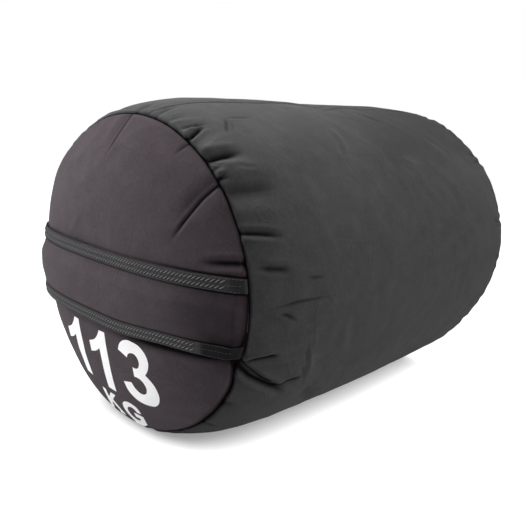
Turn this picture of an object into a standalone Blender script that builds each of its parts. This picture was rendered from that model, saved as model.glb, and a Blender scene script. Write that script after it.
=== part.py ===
"""Sandbag trainer lying on its side, as the separate pieces it is sewn and put together from.

The bag's axis runs along Y and its filling end faces -Y. It rests on z = 0 with the origin
under its middle. Every length is in metres. A depth is measured inwards from the outer face
of the cover cloth, so a piece that stands proud of the cloth has a negative depth.
"""

import math

import bmesh
import bpy
from mathutils import Matrix, Vector

# Outline of the filled bag, before its weight flattens the underside
MIDDLE_WIDTH = 0.4264
MIDDLE_HEIGHT = 0.4056
FRONT_WIDTH = 0.3814
FRONT_HEIGHT = 0.3628
REAR_WIDTH = 0.4168
REAR_HEIGHT = 0.3960
RIM_TO_RIM = 0.5040
SETTLE = 0.0156
FRONT_BULGE = 0.0340
REAR_BULGE = 0.0310
REAR_LEAN = 0.0297

# Cover cloth and the gaps that touching pieces keep
PANEL_CLOTH = 0.0012
SEWN_GAP = 0.0003
RIM_GAP = 0.0006
LOOSE_GAP = 0.0006

# Lengthwise side seam and the bound seam allowances inside both rims
LAP_WIDTH = 0.012
LAP_THICKNESS = 0.0010
BINDING_WIDTH = 0.013
BINDING_THICKNESS = 0.0025

# Mouth between the two end panels, closed by a zip
ZIP_DROP = 0.0075
MOUTH_HEIGHT = 0.020
MOUTH_INSET = 0.0425
TAPE_THICKNESS = 0.0008
TAPE_OVERLAP = 0.008
TAPE_TAIL = 0.024

# Zip teeth, in two rows that mesh across the zip's middle line
TOOTH_PITCH = 0.0044
TOOTH_WIDTH = 0.0019
TOOTH_THICKNESS = 0.0024
TOOTH_OVERLAP = 0.0009
TOOTH_LENGTH = 0.0033
CORD_WIDTH = 0.0014

# Zip slider, its bail and its pull
SLIDER_LENGTH = 0.024
SLIDER_NOSE_WIDTH = 0.016
SLIDER_TAIL_WIDTH = 0.0128
SLIDER_PLATE = 0.0012
SLIDER_GAP = 0.0004
POST_WIDTH = 0.0030
POST_LENGTH = 0.0070
BAIL_LENGTH = 0.0100
BAIL_WIDTH = 0.0024
BAIL_STOCK = 0.0014
BAIL_SINK = 0.0006
PULL_LENGTH = 0.032
PULL_WIDTH = 0.0100
PULL_THICKNESS = 0.0016
PULL_BAR = 0.0020
PULL_GAP = 0.0003
PULL_HOLE = 0.0040

# Metal stops at both ends of the teeth
STOP_LENGTH = 0.0035
STOP_THICKNESS = 0.0030
STOP_EDGE = 0.0004
PLATE_WELD = 0.000004

# Cover band over the mouth, with its hems and its hook and loop strips
BAND_HEIGHT = 0.085
BAND_RAMP = 0.030
BAND_SIDE_ROOM = 0.002
PULL_ROOM = 0.0048
HEM_HEIGHT = 0.014
HEM_THICKNESS = 0.0010
FASTENER_HEIGHT = 0.020
FASTENER_THICKNESS = 0.0012
FASTENER_INSET = 0.042

# Liner that holds the sand
LINER_CLOTH = 0.0010
LINER_MOUTH_RADIUS = 0.070
LINER_FLAP_OVERLAP = 0.020

# How far every cut runs past what it cuts
OVERRUN = 0.006

# Counts and shares that shape the surfaces
SEGMENTS = 36
SIDE_FULLNESS = 6
STATION_SHARES = (0.05, 0.10, 0.18, 0.30, 0.50, 0.70, 0.82, 0.90, 0.95)
FRONT_RING_SHARES = (0.60, 0.80, 0.93)
REAR_RING_SHARES = (0.93, 0.75, 0.50, 0.20)
ACROSS_SPANS = 20
PANEL_ROWS = 7
FLAP_ROWS = 6
SLOPE_ROWS = 4
STRIP_ROWS = SLOPE_ROWS // 2
LAP_FACET = 7
HOLE_SIDES = 12
SHARP_ANGLE = 40

# Places worked out from the sizes above
CENTRE_Z = MIDDLE_HEIGHT / 2 - SETTLE
ZIP_Z = CENTRE_Z - ZIP_DROP
FRONT_HALF = FRONT_WIDTH / 2
DOME_RADIUS = (FRONT_HALF ** 2 + FRONT_BULGE ** 2) / (2 * FRONT_BULGE)
DOME_HEIGHT_RATIO = FRONT_WIDTH / FRONT_HEIGHT
ZIP_RADIUS = math.sqrt(DOME_RADIUS ** 2 - (ZIP_DROP * DOME_HEIGHT_RATIO) ** 2)

WALL_START = PANEL_CLOTH + RIM_GAP
WALL_END = RIM_TO_RIM - PANEL_CLOTH - SEWN_GAP

TAPE_OUTER = PANEL_CLOTH + SEWN_GAP
TAPE_MIDDLE = TAPE_OUTER + TAPE_THICKNESS / 2
TAPE_EDGE = TOOTH_LENGTH - TOOTH_OVERLAP + CORD_WIDTH + SEWN_GAP
CHANNEL_HALF_DEPTH = TOOTH_THICKNESS / 2 + SLIDER_GAP
SLOT_HALF_DEPTH = TAPE_THICKNESS / 2 + SLIDER_GAP
SLIDER_TOP = TAPE_MIDDLE - CHANNEL_HALF_DEPTH - SLIDER_PLATE
SLIDER_BOTTOM = TAPE_MIDDLE + CHANNEL_HALF_DEPTH + SLIDER_PLATE
PULL_AXIS_DEPTH = SLIDER_TOP - PULL_GAP - PULL_THICKNESS / 2
BAIL_INNER = PULL_AXIS_DEPTH - PULL_THICKNESS / 2 - PULL_GAP
BAIL_TOP = BAIL_INNER - BAIL_STOCK

TAB_EDGE = FRONT_HALF - MOUTH_INSET
CHAIN_REACH = TAB_EDGE - SEWN_GAP - STOP_LENGTH - SLIDER_GAP
SLIDER_REST = CHAIN_REACH - SLIDER_LENGTH / 2
CLOSED_ANGLE = -math.asin(SLIDER_REST / ZIP_RADIUS)

CENTRE_LIFT = PULL_ROOM - BAIL_TOP
LOWER_LIFT = 3 * SEWN_GAP + 2 * FASTENER_THICKNESS
BAND_HALF = BAND_HEIGHT / 2
BAND_PLATEAU = SLIDER_NOSE_WIDTH / 2 + BAND_SIDE_ROOM

FLAP_OUTER = SLIDER_BOTTOM + LOOSE_GAP
LINER_FRONT = FLAP_OUTER + LINER_CLOTH + LOOSE_GAP
LINER_SIDE = PANEL_CLOTH + SEWN_GAP
SAND_FRONT = LINER_FRONT + LINER_CLOTH + SEWN_GAP
SAND_SIDE = LINER_SIDE + LINER_CLOTH + SEWN_GAP

FRONT_REACH = FRONT_BULGE + CENTRE_LIFT + PANEL_CLOTH
REAR_REACH = RIM_TO_RIM + REAR_BULGE + REAR_LEAN ** 2 / (4 * REAR_BULGE)
FRONT_RIM_Y = (FRONT_REACH - REAR_REACH) / 2
ZIP_AXIS_Y = FRONT_RIM_Y + DOME_RADIUS - FRONT_BULGE

PARTS = "sandbag_trainer"
CUTTERS = "cutters"

CLOTH_BLACK = ("bag_cloth", (0.030, 0.030, 0.031), 0.85, 0.0)
END_CLOTH_BLACK = ("end_cloth", (0.034, 0.030, 0.032), 0.85, 0.0)
WEBBING_BLACK = ("webbing", (0.022, 0.022, 0.023), 0.75, 0.0)
FASTENER_BLACK = ("hook_and_loop", (0.018, 0.018, 0.018), 0.95, 0.0)
ZIP_TAPE_BLACK = ("zip_tape", (0.020, 0.020, 0.021), 0.80, 0.0)
TOOTH_BLACK = ("moulded_teeth", (0.015, 0.015, 0.015), 0.45, 0.0)
ZIP_METAL = ("zip_metal", (0.55, 0.55, 0.56), 0.35, 1.0)
LINER_GREY = ("liner_cloth", (0.30, 0.30, 0.31), 0.70, 0.0)
SAND_TAN = ("dry_sand", (0.55, 0.44, 0.30), 0.95, 0.0)


def clear_scene():
    """Take away whatever the open file holds and make the two collections."""
    for obj in list(bpy.data.objects):
        bpy.data.objects.remove(obj, do_unlink=True)
    for name in (PARTS, CUTTERS):
        collection = bpy.data.collections.get(name) or bpy.data.collections.new(name)
        if name not in bpy.context.scene.collection.children:
            bpy.context.scene.collection.children.link(collection)


def finish_of(look):
    """The material that a look's name, colour, roughness and metallic value describe."""
    name, colour, roughness, metallic = look
    material = bpy.data.materials.get(name)
    if material is None:
        material = bpy.data.materials.new(name)
        material.use_nodes = True
        shader = material.node_tree.nodes["Principled BSDF"]
        shader.inputs["Base Color"].default_value = (*colour, 1.0)
        shader.inputs["Roughness"].default_value = roughness
        shader.inputs["Metallic"].default_value = metallic
    return material


def add_mesh(name, bm, look=None):
    """Turn a closed bmesh into a named object, a cutter where it has no look."""
    bmesh.ops.recalc_face_normals(bm, faces=bm.faces)
    mesh = bpy.data.meshes.new(name)
    bm.to_mesh(mesh)
    bm.free()
    obj = bpy.data.objects.new(name, mesh)
    if look is None:
        bpy.data.collections[CUTTERS].objects.link(obj)
        obj.hide_render = True
        obj.display_type = "WIRE"
        return obj
    bpy.data.collections[PARTS].objects.link(obj)
    mesh.materials.append(finish_of(look))
    mesh.shade_smooth()
    mesh.set_sharp_from_angle(angle=math.radians(SHARP_ANGLE))
    return obj


def shell(name, outer, inner, look, wrap=False, capped=False):
    """Close the space between two grids of points that have the same rows and columns.

    With wrap the last column joins the first, and capped closes the last row of each grid.
    """
    bm = bmesh.new()
    grids = [[[bm.verts.new(point) for point in row] for row in grid] for grid in (outer, inner)]
    rows, columns = len(outer), len(outer[0])
    spans = columns if wrap else columns - 1
    for grid in grids:
        for r in range(rows - 1):
            for c in range(spans):
                n = (c + 1) % columns
                bm.faces.new((grid[r][c], grid[r][n], grid[r + 1][n], grid[r + 1][c]))
        if capped:
            bm.faces.new(grid[-1])
    top, under = grids
    for r in (0,) if capped else (0, rows - 1):
        for c in range(spans):
            n = (c + 1) % columns
            bm.faces.new((top[r][c], top[r][n], under[r][n], under[r][c]))
    if not wrap:
        for c in (0, columns - 1):
            for r in range(rows - 1):
                bm.faces.new((top[r][c], top[r + 1][c], under[r + 1][c], under[r][c]))
    return add_mesh(name, bm, look)


def loft(name, rings, look=None):
    """Solid through a run of rings, closed flat at both ends."""
    bm = bmesh.new()
    loops = [[bm.verts.new(point) for point in ring] for ring in rings]
    count = len(rings[0])
    for near, far in zip(loops, loops[1:]):
        for c in range(count):
            n = (c + 1) % count
            bm.faces.new((near[c], near[n], far[n], far[c]))
    bm.faces.new(loops[0])
    bm.faces.new(loops[-1])
    return add_mesh(name, bm, look)


def cut(obj, cutter, operation="DIFFERENCE"):
    """Add a Boolean modifier to an object."""
    modifier = obj.modifiers.new(operation.title(), "BOOLEAN")
    modifier.operation = operation
    modifier.solver = "EXACT"
    modifier.object = cutter


def smooth_step(share):
    """Ease from 0 to 1 with level ends."""
    share = min(1.0, max(0.0, share))
    return share * share * (3 - 2 * share)


def even_steps(start, end, count):
    """Evenly spaced values from start to end, both counted."""
    return [start + (end - start) * i / count for i in range(count + 1)]


def ring_angles():
    """Angles round a section, with one facet centred straight below."""
    return [2 * math.pi * (i + 0.5) / SEGMENTS for i in range(SEGMENTS)]


def side_half_sizes(share):
    """Half width and half height of the bag's section at a share of its length."""
    swell = 1 - abs(2 * share - 1) ** SIDE_FULLNESS
    sizes = []
    for front, middle, rear in ((FRONT_WIDTH, MIDDLE_WIDTH, REAR_WIDTH),
                                (FRONT_HEIGHT, MIDDLE_HEIGHT, REAR_HEIGHT)):
        straight = front + (rear - front) * share
        sizes.append((straight + (middle - straight) * swell) / 2)
    return sizes


def side_ring(share, depth):
    """Section of the side wall: an oval, pressed flat where it meets the ground."""
    half_width, half_height = side_half_sizes(share)
    y = FRONT_RIM_Y + RIM_TO_RIM * share
    ring = []
    for angle in ring_angles():
        x = (half_width - depth) * math.cos(angle)
        z = max(CENTRE_Z + (half_height - depth) * math.sin(angle), depth)
        lean = REAR_LEAN * (z - CENTRE_Z) / (REAR_HEIGHT / 2) * share ** 2
        ring.append(Vector((x, y + lean, z)))
    return ring


def wall_stations():
    """Distances from the front rim at which the side panel's facets meet."""
    between = [RIM_TO_RIM * share for share in STATION_SHARES]
    front = [WALL_START, WALL_START + BINDING_WIDTH]
    return front + between + [WALL_END - BINDING_WIDTH, WALL_END]


def wall_rings(stations, depth):
    """Sections of the side wall at a run of distances from the front rim."""
    return [side_ring(station / RIM_TO_RIM, depth) for station in stations]


def rear_ring(share, depth, floor_depth=0.0):
    """Ring on the rear end's bulge, at a share of the way out to its rim."""
    ring = []
    for angle in ring_angles():
        x = share * REAR_WIDTH / 2 * math.cos(angle)
        z = max(CENTRE_Z + share * REAR_HEIGHT / 2 * math.sin(angle), floor_depth)
        lean = REAR_LEAN * (z - CENTRE_Z) / (REAR_HEIGHT / 2)
        y = FRONT_RIM_Y + RIM_TO_RIM + REAR_BULGE * (1 - share ** 2) + lean - depth
        ring.append(Vector((x, y, z)))
    return ring


def front_point(x, rise, depth):
    """Point on the front end's bulge, with its rise measured from the zip's line."""
    height = (rise - ZIP_DROP) * DOME_HEIGHT_RATIO
    sagitta = math.sqrt(DOME_RADIUS ** 2 - x ** 2 - height ** 2)
    return Vector((x, ZIP_AXIS_Y - sagitta + depth, ZIP_Z + rise))


def front_ring(share, depth):
    """Ring on the front end's bulge, at a share of the way out to its rim."""
    ring = []
    for angle in ring_angles():
        x = share * FRONT_HALF * math.cos(angle)
        rise = ZIP_DROP + share * FRONT_HEIGHT / 2 * math.sin(angle)
        ring.append(front_point(x, rise, depth))
    return ring


def across(reach):
    """Places across the front end within a reach, on lines that all its layers share."""
    lines = even_steps(-FRONT_HALF, FRONT_HALF, ACROSS_SPANS)
    margin = SEWN_GAP
    return [-reach] + [x for x in lines if abs(x) < reach - margin] + [reach]


def front_sheet(name, columns, rises, depth_at, thickness, look):
    """Layer that follows the front end, its outer face at the depth that depth_at gives."""
    outer = [[front_point(x, rise, depth_at(x, rise)) for x in columns] for rise in rises]
    inner = [[point + Vector((0, thickness, 0)) for point in row] for row in outer]
    return shell(name, outer, inner, look)


def level(depth):
    """Depth that stays the same all over a layer."""
    return lambda x, rise: depth


def zip_point(angle, rise, depth):
    """Point on the arc that the zip's teeth lie along."""
    radius = ZIP_RADIUS - depth
    return Vector((radius * math.sin(angle), ZIP_AXIS_Y - radius * math.cos(angle), ZIP_Z + rise))


def band_lift(x, rise):
    """How far the cover band's inner face stands off the end panels."""
    upper_flat = BAND_HALF - HEM_HEIGHT
    lower_flat = BAND_HALF - FASTENER_HEIGHT
    if rise >= 0:
        share = smooth_step((rise - BAND_PLATEAU) / (upper_flat - BAND_PLATEAU))
        lift = CENTRE_LIFT + (SEWN_GAP - CENTRE_LIFT) * share
    else:
        share = smooth_step((-rise - BAND_PLATEAU) / (lower_flat - BAND_PLATEAU))
        lift = CENTRE_LIFT + (LOWER_LIFT - CENTRE_LIFT) * share
    ramp = smooth_step((FRONT_HALF - abs(x)) / BAND_RAMP)
    return SEWN_GAP + (lift - SEWN_GAP) * ramp


def make_rim_plug():
    """Cutter with the outline of the front rim, which trims what is sewn into it."""
    rim = side_ring(0.0, 0.0)
    reach = FRONT_REACH + OVERRUN
    rings = [[point + Vector((0, offset, 0)) for point in rim] for offset in (-reach, OVERRUN)]
    return loft("rim_plug", rings)


def make_side_panel():
    """The cloth tube between both ends, flattened along its underside."""
    outer = wall_rings(wall_stations(), 0.0)
    inner = wall_rings(wall_stations(), PANEL_CLOTH)
    return shell("side_panel", outer, inner, CLOTH_BLACK, wrap=True)


def make_side_seam_lap():
    """Lapped strip where the side panel's two long edges are sewn to each other."""
    outer, inner = [], []
    for ring in wall_rings(wall_stations(), 0.0):
        left, right = ring[LAP_FACET], ring[LAP_FACET + 1]
        middle = (left + right) / 2
        along = (right - left).normalized()
        out = Vector((along.z, 0, -along.x)).normalized()
        edges = [middle + along * side * LAP_WIDTH / 2 for side in (-1, 1)]
        inner.append([edge + out * SEWN_GAP for edge in edges])
        outer.append([edge + out * (SEWN_GAP + LAP_THICKNESS) for edge in edges])
    return shell("side_seam_lap", outer, inner, CLOTH_BLACK)


def make_seam_bindings():
    """Bound seam allowances that lie against the side panel inside both rims."""
    stations = wall_stations()
    for name, edges in (("front_seam_binding", stations[:2]), ("rear_seam_binding", stations[-2:])):
        outer = wall_rings(edges, LINER_SIDE)
        inner = wall_rings(edges, LINER_SIDE + BINDING_THICKNESS)
        shell(name, outer, inner, WEBBING_BLACK, wrap=True)


def make_end_panels(plug):
    """Upper and lower cloth panels of the filling end, trimmed to the rim."""
    columns = [-FRONT_HALF - OVERRUN] + across(FRONT_HALF) + [FRONT_HALF + OVERRUN]
    top = FRONT_HEIGHT / 2 + ZIP_DROP + OVERRUN
    bottom = ZIP_DROP - FRONT_HEIGHT / 2 - OVERRUN
    for name, edge, far in (("upper_end_panel", MOUTH_HEIGHT / 2, top),
                            ("lower_end_panel", -MOUTH_HEIGHT / 2, bottom)):
        rises = even_steps(edge, far, PANEL_ROWS)
        panel = front_sheet(name, columns, rises, level(0.0), PANEL_CLOTH, END_CLOTH_BLACK)
        cut(panel, plug, "INTERSECT")


def make_zip_end_tabs(plug):
    """Cloth tabs that close the mouth between the zip's ends and the rim."""
    half = MOUTH_HEIGHT / 2 - SEWN_GAP
    rim = FRONT_HALF + OVERRUN
    lines = [x for x in across(FRONT_HALF) if x > TAB_EDGE + SEWN_GAP]
    columns = [TAB_EDGE] + lines + [rim]
    for name, side in (("zip_end_tab_left", -1), ("zip_end_tab_right", 1)):
        places = [side * x for x in columns]
        rises = even_steps(-half, half, STRIP_ROWS)
        tab = front_sheet(name, places, rises, level(0.0), PANEL_CLOTH, END_CLOTH_BLACK)
        cut(tab, plug, "INTERSECT")


def make_base_panel():
    """Round cloth panel that closes the rear end."""
    shares = (1.0,) + REAR_RING_SHARES
    outer = [rear_ring(share, 0.0) for share in shares]
    inner = [rear_ring(share, PANEL_CLOTH) for share in shares]
    return shell("base_panel", outer, inner, CLOTH_BLACK, wrap=True, capped=True)


def make_zip_tapes():
    """Woven tapes sewn behind the end panels, one for each row of teeth."""
    columns = across(TAB_EDGE + TAPE_TAIL)
    far = MOUTH_HEIGHT / 2 + TAPE_OVERLAP
    for name, side in (("zip_tape_upper", 1), ("zip_tape_lower", -1)):
        rises = [side * rise for rise in even_steps(TAPE_EDGE, far, STRIP_ROWS)]
        front_sheet(name, columns, rises, level(TAPE_OUTER), TAPE_THICKNESS, ZIP_TAPE_BLACK)


def tooth_stations(offset):
    """Angles of both flanks of every tooth in a row, and of the row's ends."""
    start = CLOSED_ANGLE
    end = math.asin(CHAIN_REACH / ZIP_RADIUS)
    pitch = TOOTH_PITCH / ZIP_RADIUS
    width = TOOTH_WIDTH / ZIP_RADIUS
    count = int((end - start - offset * pitch) / pitch)
    flanks = []
    for i in range(count):
        first = start + (i + offset) * pitch + (pitch - width) / 4
        flanks += [first, first + width]
    return [start] + flanks + [end]


def make_tooth_row(name, side, offset):
    """Row of moulded teeth: a cord along the tape's edge, with a tooth drawn out at each pitch."""
    root = TOOTH_LENGTH - TOOTH_OVERLAP
    angles = tooth_stations(offset)
    rises = [side * root, side * (root + CORD_WIDTH)]
    faces = []
    for depth in (TAPE_MIDDLE - TOOTH_THICKNESS / 2, TAPE_MIDDLE + TOOTH_THICKNESS / 2):
        faces.append([[zip_point(angle, rise, depth) for rise in rises] for angle in angles])
    row = shell(name, faces[0], faces[1], TOOTH_BLACK)
    bm = bmesh.new()
    bm.from_mesh(row.data)
    bm.faces.ensure_lookup_table()
    middles = [(a + b) / 2 for a, b in zip(angles[1:-1:2], angles[2:-1:2])]
    roots = []
    for face in bm.faces:
        centre = face.calc_center_median()
        if abs(centre.z - ZIP_Z - side * root) > CORD_WIDTH / 4:
            continue
        at = math.atan2(centre.x, ZIP_AXIS_Y - centre.y)
        if min(abs(at - middle) for middle in middles) < TOOTH_WIDTH / ZIP_RADIUS / 4:
            roots.append(face)
    tips = bmesh.ops.extrude_discrete_faces(bm, faces=roots)["faces"]
    verts = {vert for face in tips for vert in face.verts}
    bmesh.ops.translate(bm, verts=list(verts), vec=Vector((0, 0, -side * TOOTH_LENGTH)))
    bmesh.ops.recalc_face_normals(bm, faces=bm.faces)
    bm.to_mesh(row.data)
    bm.free()
    return row


def make_stop(name, near, low, high):
    """Small metal stop clamped on the zip beyond its last tooth."""
    bm = bmesh.new()
    bmesh.ops.create_cube(bm, size=1.0)
    size = (STOP_LENGTH, STOP_THICKNESS, high - low)
    bmesh.ops.scale(bm, vec=size, verts=bm.verts)
    place = zip_point(math.asin(near / ZIP_RADIUS), (low + high) / 2, TAPE_MIDDLE)
    stop = add_mesh(name, bm, ZIP_METAL)
    stop.location = place
    stop.rotation_euler.z = math.asin(near / ZIP_RADIUS)
    bevel = stop.modifiers.new("Edges", "BEVEL")
    bevel.width = STOP_EDGE
    bevel.segments = 1
    return stop


def make_stops():
    """Two top stops beyond the closed end and one bottom stop beyond the open end."""
    edge = TAPE_EDGE - SEWN_GAP
    middle = TAB_EDGE - SEWN_GAP - STOP_LENGTH / 2
    low = edge - CORD_WIDTH - TOOTH_OVERLAP
    make_stop("zip_top_stop_upper", -middle, low, edge)
    make_stop("zip_top_stop_lower", -middle, -edge, -low)
    make_stop("zip_bottom_stop", middle, -edge, edge)


def plate_mesh(name, outlines, thickness, turn, look=None):
    """Flat plate from a filled 2D curve: the first outline is its edge, the others are holes."""
    curve = bpy.data.curves.new(name, "CURVE")
    curve.dimensions = "2D"
    curve.fill_mode = "BOTH"
    curve.extrude = thickness / 2
    for outline in outlines:
        spline = curve.splines.new("POLY")
        spline.points.add(len(outline) - 1)
        for point, (u, v) in zip(spline.points, outline):
            point.co = (u, v, 0, 1)
        spline.use_cyclic_u = True
    guide = bpy.data.objects.new(name + "_outline", curve)
    bpy.context.scene.collection.objects.link(guide)
    evaluated = guide.evaluated_get(bpy.context.evaluated_depsgraph_get())
    mesh = bpy.data.meshes.new_from_object(evaluated)
    bpy.data.objects.remove(guide, do_unlink=True)
    bm = bmesh.new()
    bm.from_mesh(mesh)
    bpy.data.meshes.remove(mesh)
    bmesh.ops.remove_doubles(bm, verts=bm.verts, dist=PLATE_WELD)
    bmesh.ops.transform(bm, matrix=turn, verts=bm.verts)
    return add_mesh(name, bm, look)


def in_plan(depth):
    """Turn that lays a plate's outline on the slider's plan, at a depth."""
    return Matrix.Translation((0, depth - ZIP_RADIUS, 0)) @ Matrix.Rotation(math.pi / 2, 4, "X")


def mirrored(outline):
    """Outline closed by its own mirror image below the middle line."""
    return outline + [(u, -v) for u, v in reversed(outline) if v > 0]


def ride_on_zip(obj):
    """Put an object's origin on the axis of the zip's arc, at the closed end's angle."""
    obj.location = (0, ZIP_AXIS_Y, ZIP_Z)
    obj.rotation_euler.z = CLOSED_ANGLE


def make_zip_slider():
    """Slider: two plates joined by a post at the nose, with lips that hold both tapes."""
    tail = SLIDER_LENGTH / 2
    nose, nose_half, tail_half = -tail, SLIDER_NOSE_WIDTH / 2, SLIDER_TAIL_WIDTH / 2
    lip = tail_half - TAPE_EDGE
    outline = mirrored([
        (nose, nose_half - lip),
        (nose + lip, nose_half),
        (nose + POST_LENGTH, nose_half),
        (0.0, tail_half),
        (tail - lip / 2, tail_half),
        (tail, tail_half - lip / 2),
    ])
    thickness = SLIDER_BOTTOM - SLIDER_TOP
    slider = plate_mesh("zip_slider", [outline], thickness, in_plan(TAPE_MIDDLE), ZIP_METAL)

    channel = mirrored([
        (nose - OVERRUN, nose_half - lip / 2),
        (nose, nose_half - lip),
        (nose + POST_LENGTH, nose_half - lip),
        (0.0, TAPE_EDGE),
        (tail + OVERRUN, TAPE_EDGE),
    ])
    post_start = nose + lip
    post = mirrored([
        (post_start, 0.0),
        (post_start + POST_LENGTH / 2, POST_WIDTH / 2),
        (post_start + POST_LENGTH, 0.0),
    ])
    post = post[:4]
    way = plate_mesh("tooth_way", [channel, post], 2 * CHANNEL_HALF_DEPTH, in_plan(TAPE_MIDDLE))
    cut(slider, way)
    ride_on_zip(way)

    inner = TAPE_EDGE - SLIDER_GAP
    outer = nose_half + OVERRUN
    reach = tail + OVERRUN
    for side, name in ((1, "tape_slot_upper"), (-1, "tape_slot_lower")):
        near, far = side * inner, side * outer
        slot = [(-reach, near), (reach, near), (reach, far), (-reach, far)]
        slot_cut = plate_mesh(name, [slot], 2 * SLOT_HALF_DEPTH, in_plan(TAPE_MIDDLE))
        cut(slider, slot_cut)
        ride_on_zip(slot_cut)

    half = BAIL_LENGTH / 2
    base, under, top = SLIDER_TOP + BAIL_SINK, BAIL_INNER, BAIL_TOP
    hollow = half - BAIL_STOCK
    corner = BAIL_STOCK / 2
    arch = [
        (-half, base), (-half, top + corner), (corner - half, top), (half - corner, top),
        (half, top + corner), (half, base), (hollow, base), (hollow, under),
        (-hollow, under), (-hollow, base),
    ]
    bail = plate_mesh("bail", [arch], BAIL_WIDTH, Matrix.Translation((0, -ZIP_RADIUS, 0)))
    cut(slider, bail, "UNION")
    ride_on_zip(bail)
    ride_on_zip(slider)
    return slider


def circle_outline(centre, diameter, count):
    """Points round a circle in a plate's plan."""
    angles = [2 * math.pi * i / count for i in range(count)]
    return [(centre + diameter / 2 * math.cos(a), diameter / 2 * math.sin(a)) for a in angles]


def make_zip_pull(slider):
    """Flat pull whose end bar lies under the slider's bail and turns there."""
    half_bar, half = PULL_BAR / 2, PULL_WIDTH / 2
    leg = BAIL_LENGTH / 2
    window_end = leg + PULL_BAR
    window_half = BAIL_WIDTH / 2 + PULL_BAR / 2
    round_off = half / 2
    tip = PULL_LENGTH - half_bar
    outline = mirrored([
        (-half_bar, half - round_off),
        (round_off - half_bar, half),
        (window_end, half),
        (tip - round_off, half),
        (tip, half - round_off),
    ])
    window = [(half_bar, -window_half), (window_end, -window_half),
              (window_end, window_half), (half_bar, window_half)]
    hole = circle_outline(tip - PULL_HOLE, PULL_HOLE, HOLE_SIDES)
    turn = Matrix.Rotation(math.pi / 2, 4, "X")
    pull = plate_mesh("zip_pull", [outline, window, hole], PULL_THICKNESS, turn, ZIP_METAL)
    pull.parent = slider
    pull.location = (0, PULL_AXIS_DEPTH - ZIP_RADIUS, 0)
    return pull


def band_rises():
    """Places up the cover band, close together where it slopes."""
    upper_flat = BAND_HALF - HEM_HEIGHT
    lower_flat = BAND_HALF - FASTENER_HEIGHT
    rises = even_steps(-BAND_HALF, -lower_flat, STRIP_ROWS)
    rises += even_steps(-lower_flat, -BAND_PLATEAU, SLOPE_ROWS)[1:]
    rises += even_steps(-BAND_PLATEAU, BAND_PLATEAU, STRIP_ROWS)[1:]
    rises += even_steps(BAND_PLATEAU, upper_flat, SLOPE_ROWS)[1:]
    rises += [BAND_HALF]
    return rises


def make_cover_band(plug):
    """Band sewn down along its top edge, which bridges the zip and closes on the lower panel."""
    columns = [-FRONT_HALF - OVERRUN] + across(FRONT_HALF) + [FRONT_HALF + OVERRUN]

    def depth_at(x, rise):
        return -band_lift(x, rise) - PANEL_CLOTH

    band = front_sheet("cover_band", columns, band_rises(), depth_at, PANEL_CLOTH, END_CLOTH_BLACK)
    cut(band, plug, "INTERSECT")

    def hem_depth(x, rise):
        return depth_at(x, rise) - SEWN_GAP - HEM_THICKNESS

    upper = [BAND_HALF - HEM_HEIGHT, BAND_HALF]
    middle_line = -BAND_HALF + FASTENER_HEIGHT / 2
    lower = [-BAND_HALF, middle_line, -BAND_HALF + HEM_HEIGHT]
    for name, rises in (("band_upper_hem", upper), ("band_lower_hem", lower)):
        hem = front_sheet(name, columns, rises, hem_depth, HEM_THICKNESS, WEBBING_BLACK)
        cut(hem, plug, "INTERSECT")


def make_fastener_strips():
    """Loop strip on the lower panel and the hook strip that holds the band's free edge on it."""
    columns = across(FRONT_HALF - FASTENER_INSET)
    rises = even_steps(-BAND_HALF, FASTENER_HEIGHT - BAND_HALF, STRIP_ROWS)
    loop = level(-SEWN_GAP - FASTENER_THICKNESS)
    hook = level(-2 * SEWN_GAP - 2 * FASTENER_THICKNESS)
    front_sheet("loop_strip", columns, rises, loop, FASTENER_THICKNESS, FASTENER_BLACK)
    front_sheet("hook_strip", columns, rises, hook, FASTENER_THICKNESS, FASTENER_BLACK)


def vessel_rings(first_shares, front_depth, side_depth):
    """Rings of a bag inside the cover, which draws in to clear the bound seams at both rims."""
    drawn_in = side_depth + BINDING_THICKNESS + SEWN_GAP
    stations = wall_stations()[2:-2]
    rings = [front_ring(share, front_depth) for share in first_shares]
    rings += wall_rings(stations[:1], drawn_in)
    rings += wall_rings(stations[1:-1], side_depth)
    rings += wall_rings(stations[-1:], drawn_in)
    rings += [rear_ring(share, side_depth, drawn_in) for share in REAR_RING_SHARES]
    return rings


def make_liner():
    """Inner bag with a round mouth, and the flap that closes it behind the zip."""
    shares = (LINER_MOUTH_RADIUS / FRONT_HALF,) + FRONT_RING_SHARES
    outer = vessel_rings(shares, LINER_FRONT, LINER_SIDE)
    inner = vessel_rings(shares, LINER_FRONT + LINER_CLOTH, LINER_SIDE + LINER_CLOTH)
    shell("liner_bag", outer, inner, LINER_GREY, wrap=True, capped=True)
    half = LINER_MOUTH_RADIUS + LINER_FLAP_OVERLAP
    rises = even_steps(ZIP_DROP - half, ZIP_DROP + half, FLAP_ROWS)
    front_sheet("liner_flap", across(half), rises, level(FLAP_OUTER), LINER_CLOTH, LINER_GREY)


def make_sand_fill():
    """The sand as one body that fills the liner."""
    shares = (LINER_MOUTH_RADIUS / FRONT_HALF,) + FRONT_RING_SHARES
    return loft("sand_fill", vessel_rings(shares, SAND_FRONT, SAND_SIDE), SAND_TAN)


def main():
    """Build every piece of the bag."""
    clear_scene()
    plug = make_rim_plug()
    make_side_panel()
    make_side_seam_lap()
    make_seam_bindings()
    make_end_panels(plug)
    make_zip_end_tabs(plug)
    make_base_panel()
    make_zip_tapes()
    make_tooth_row("zip_teeth_upper", 1, 0.0)
    make_tooth_row("zip_teeth_lower", -1, 0.5)
    make_stops()
    slider = make_zip_slider()
    make_zip_pull(slider)
    make_cover_band(plug)
    make_fastener_strips()
    make_liner()
    make_sand_fill()


main()
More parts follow.
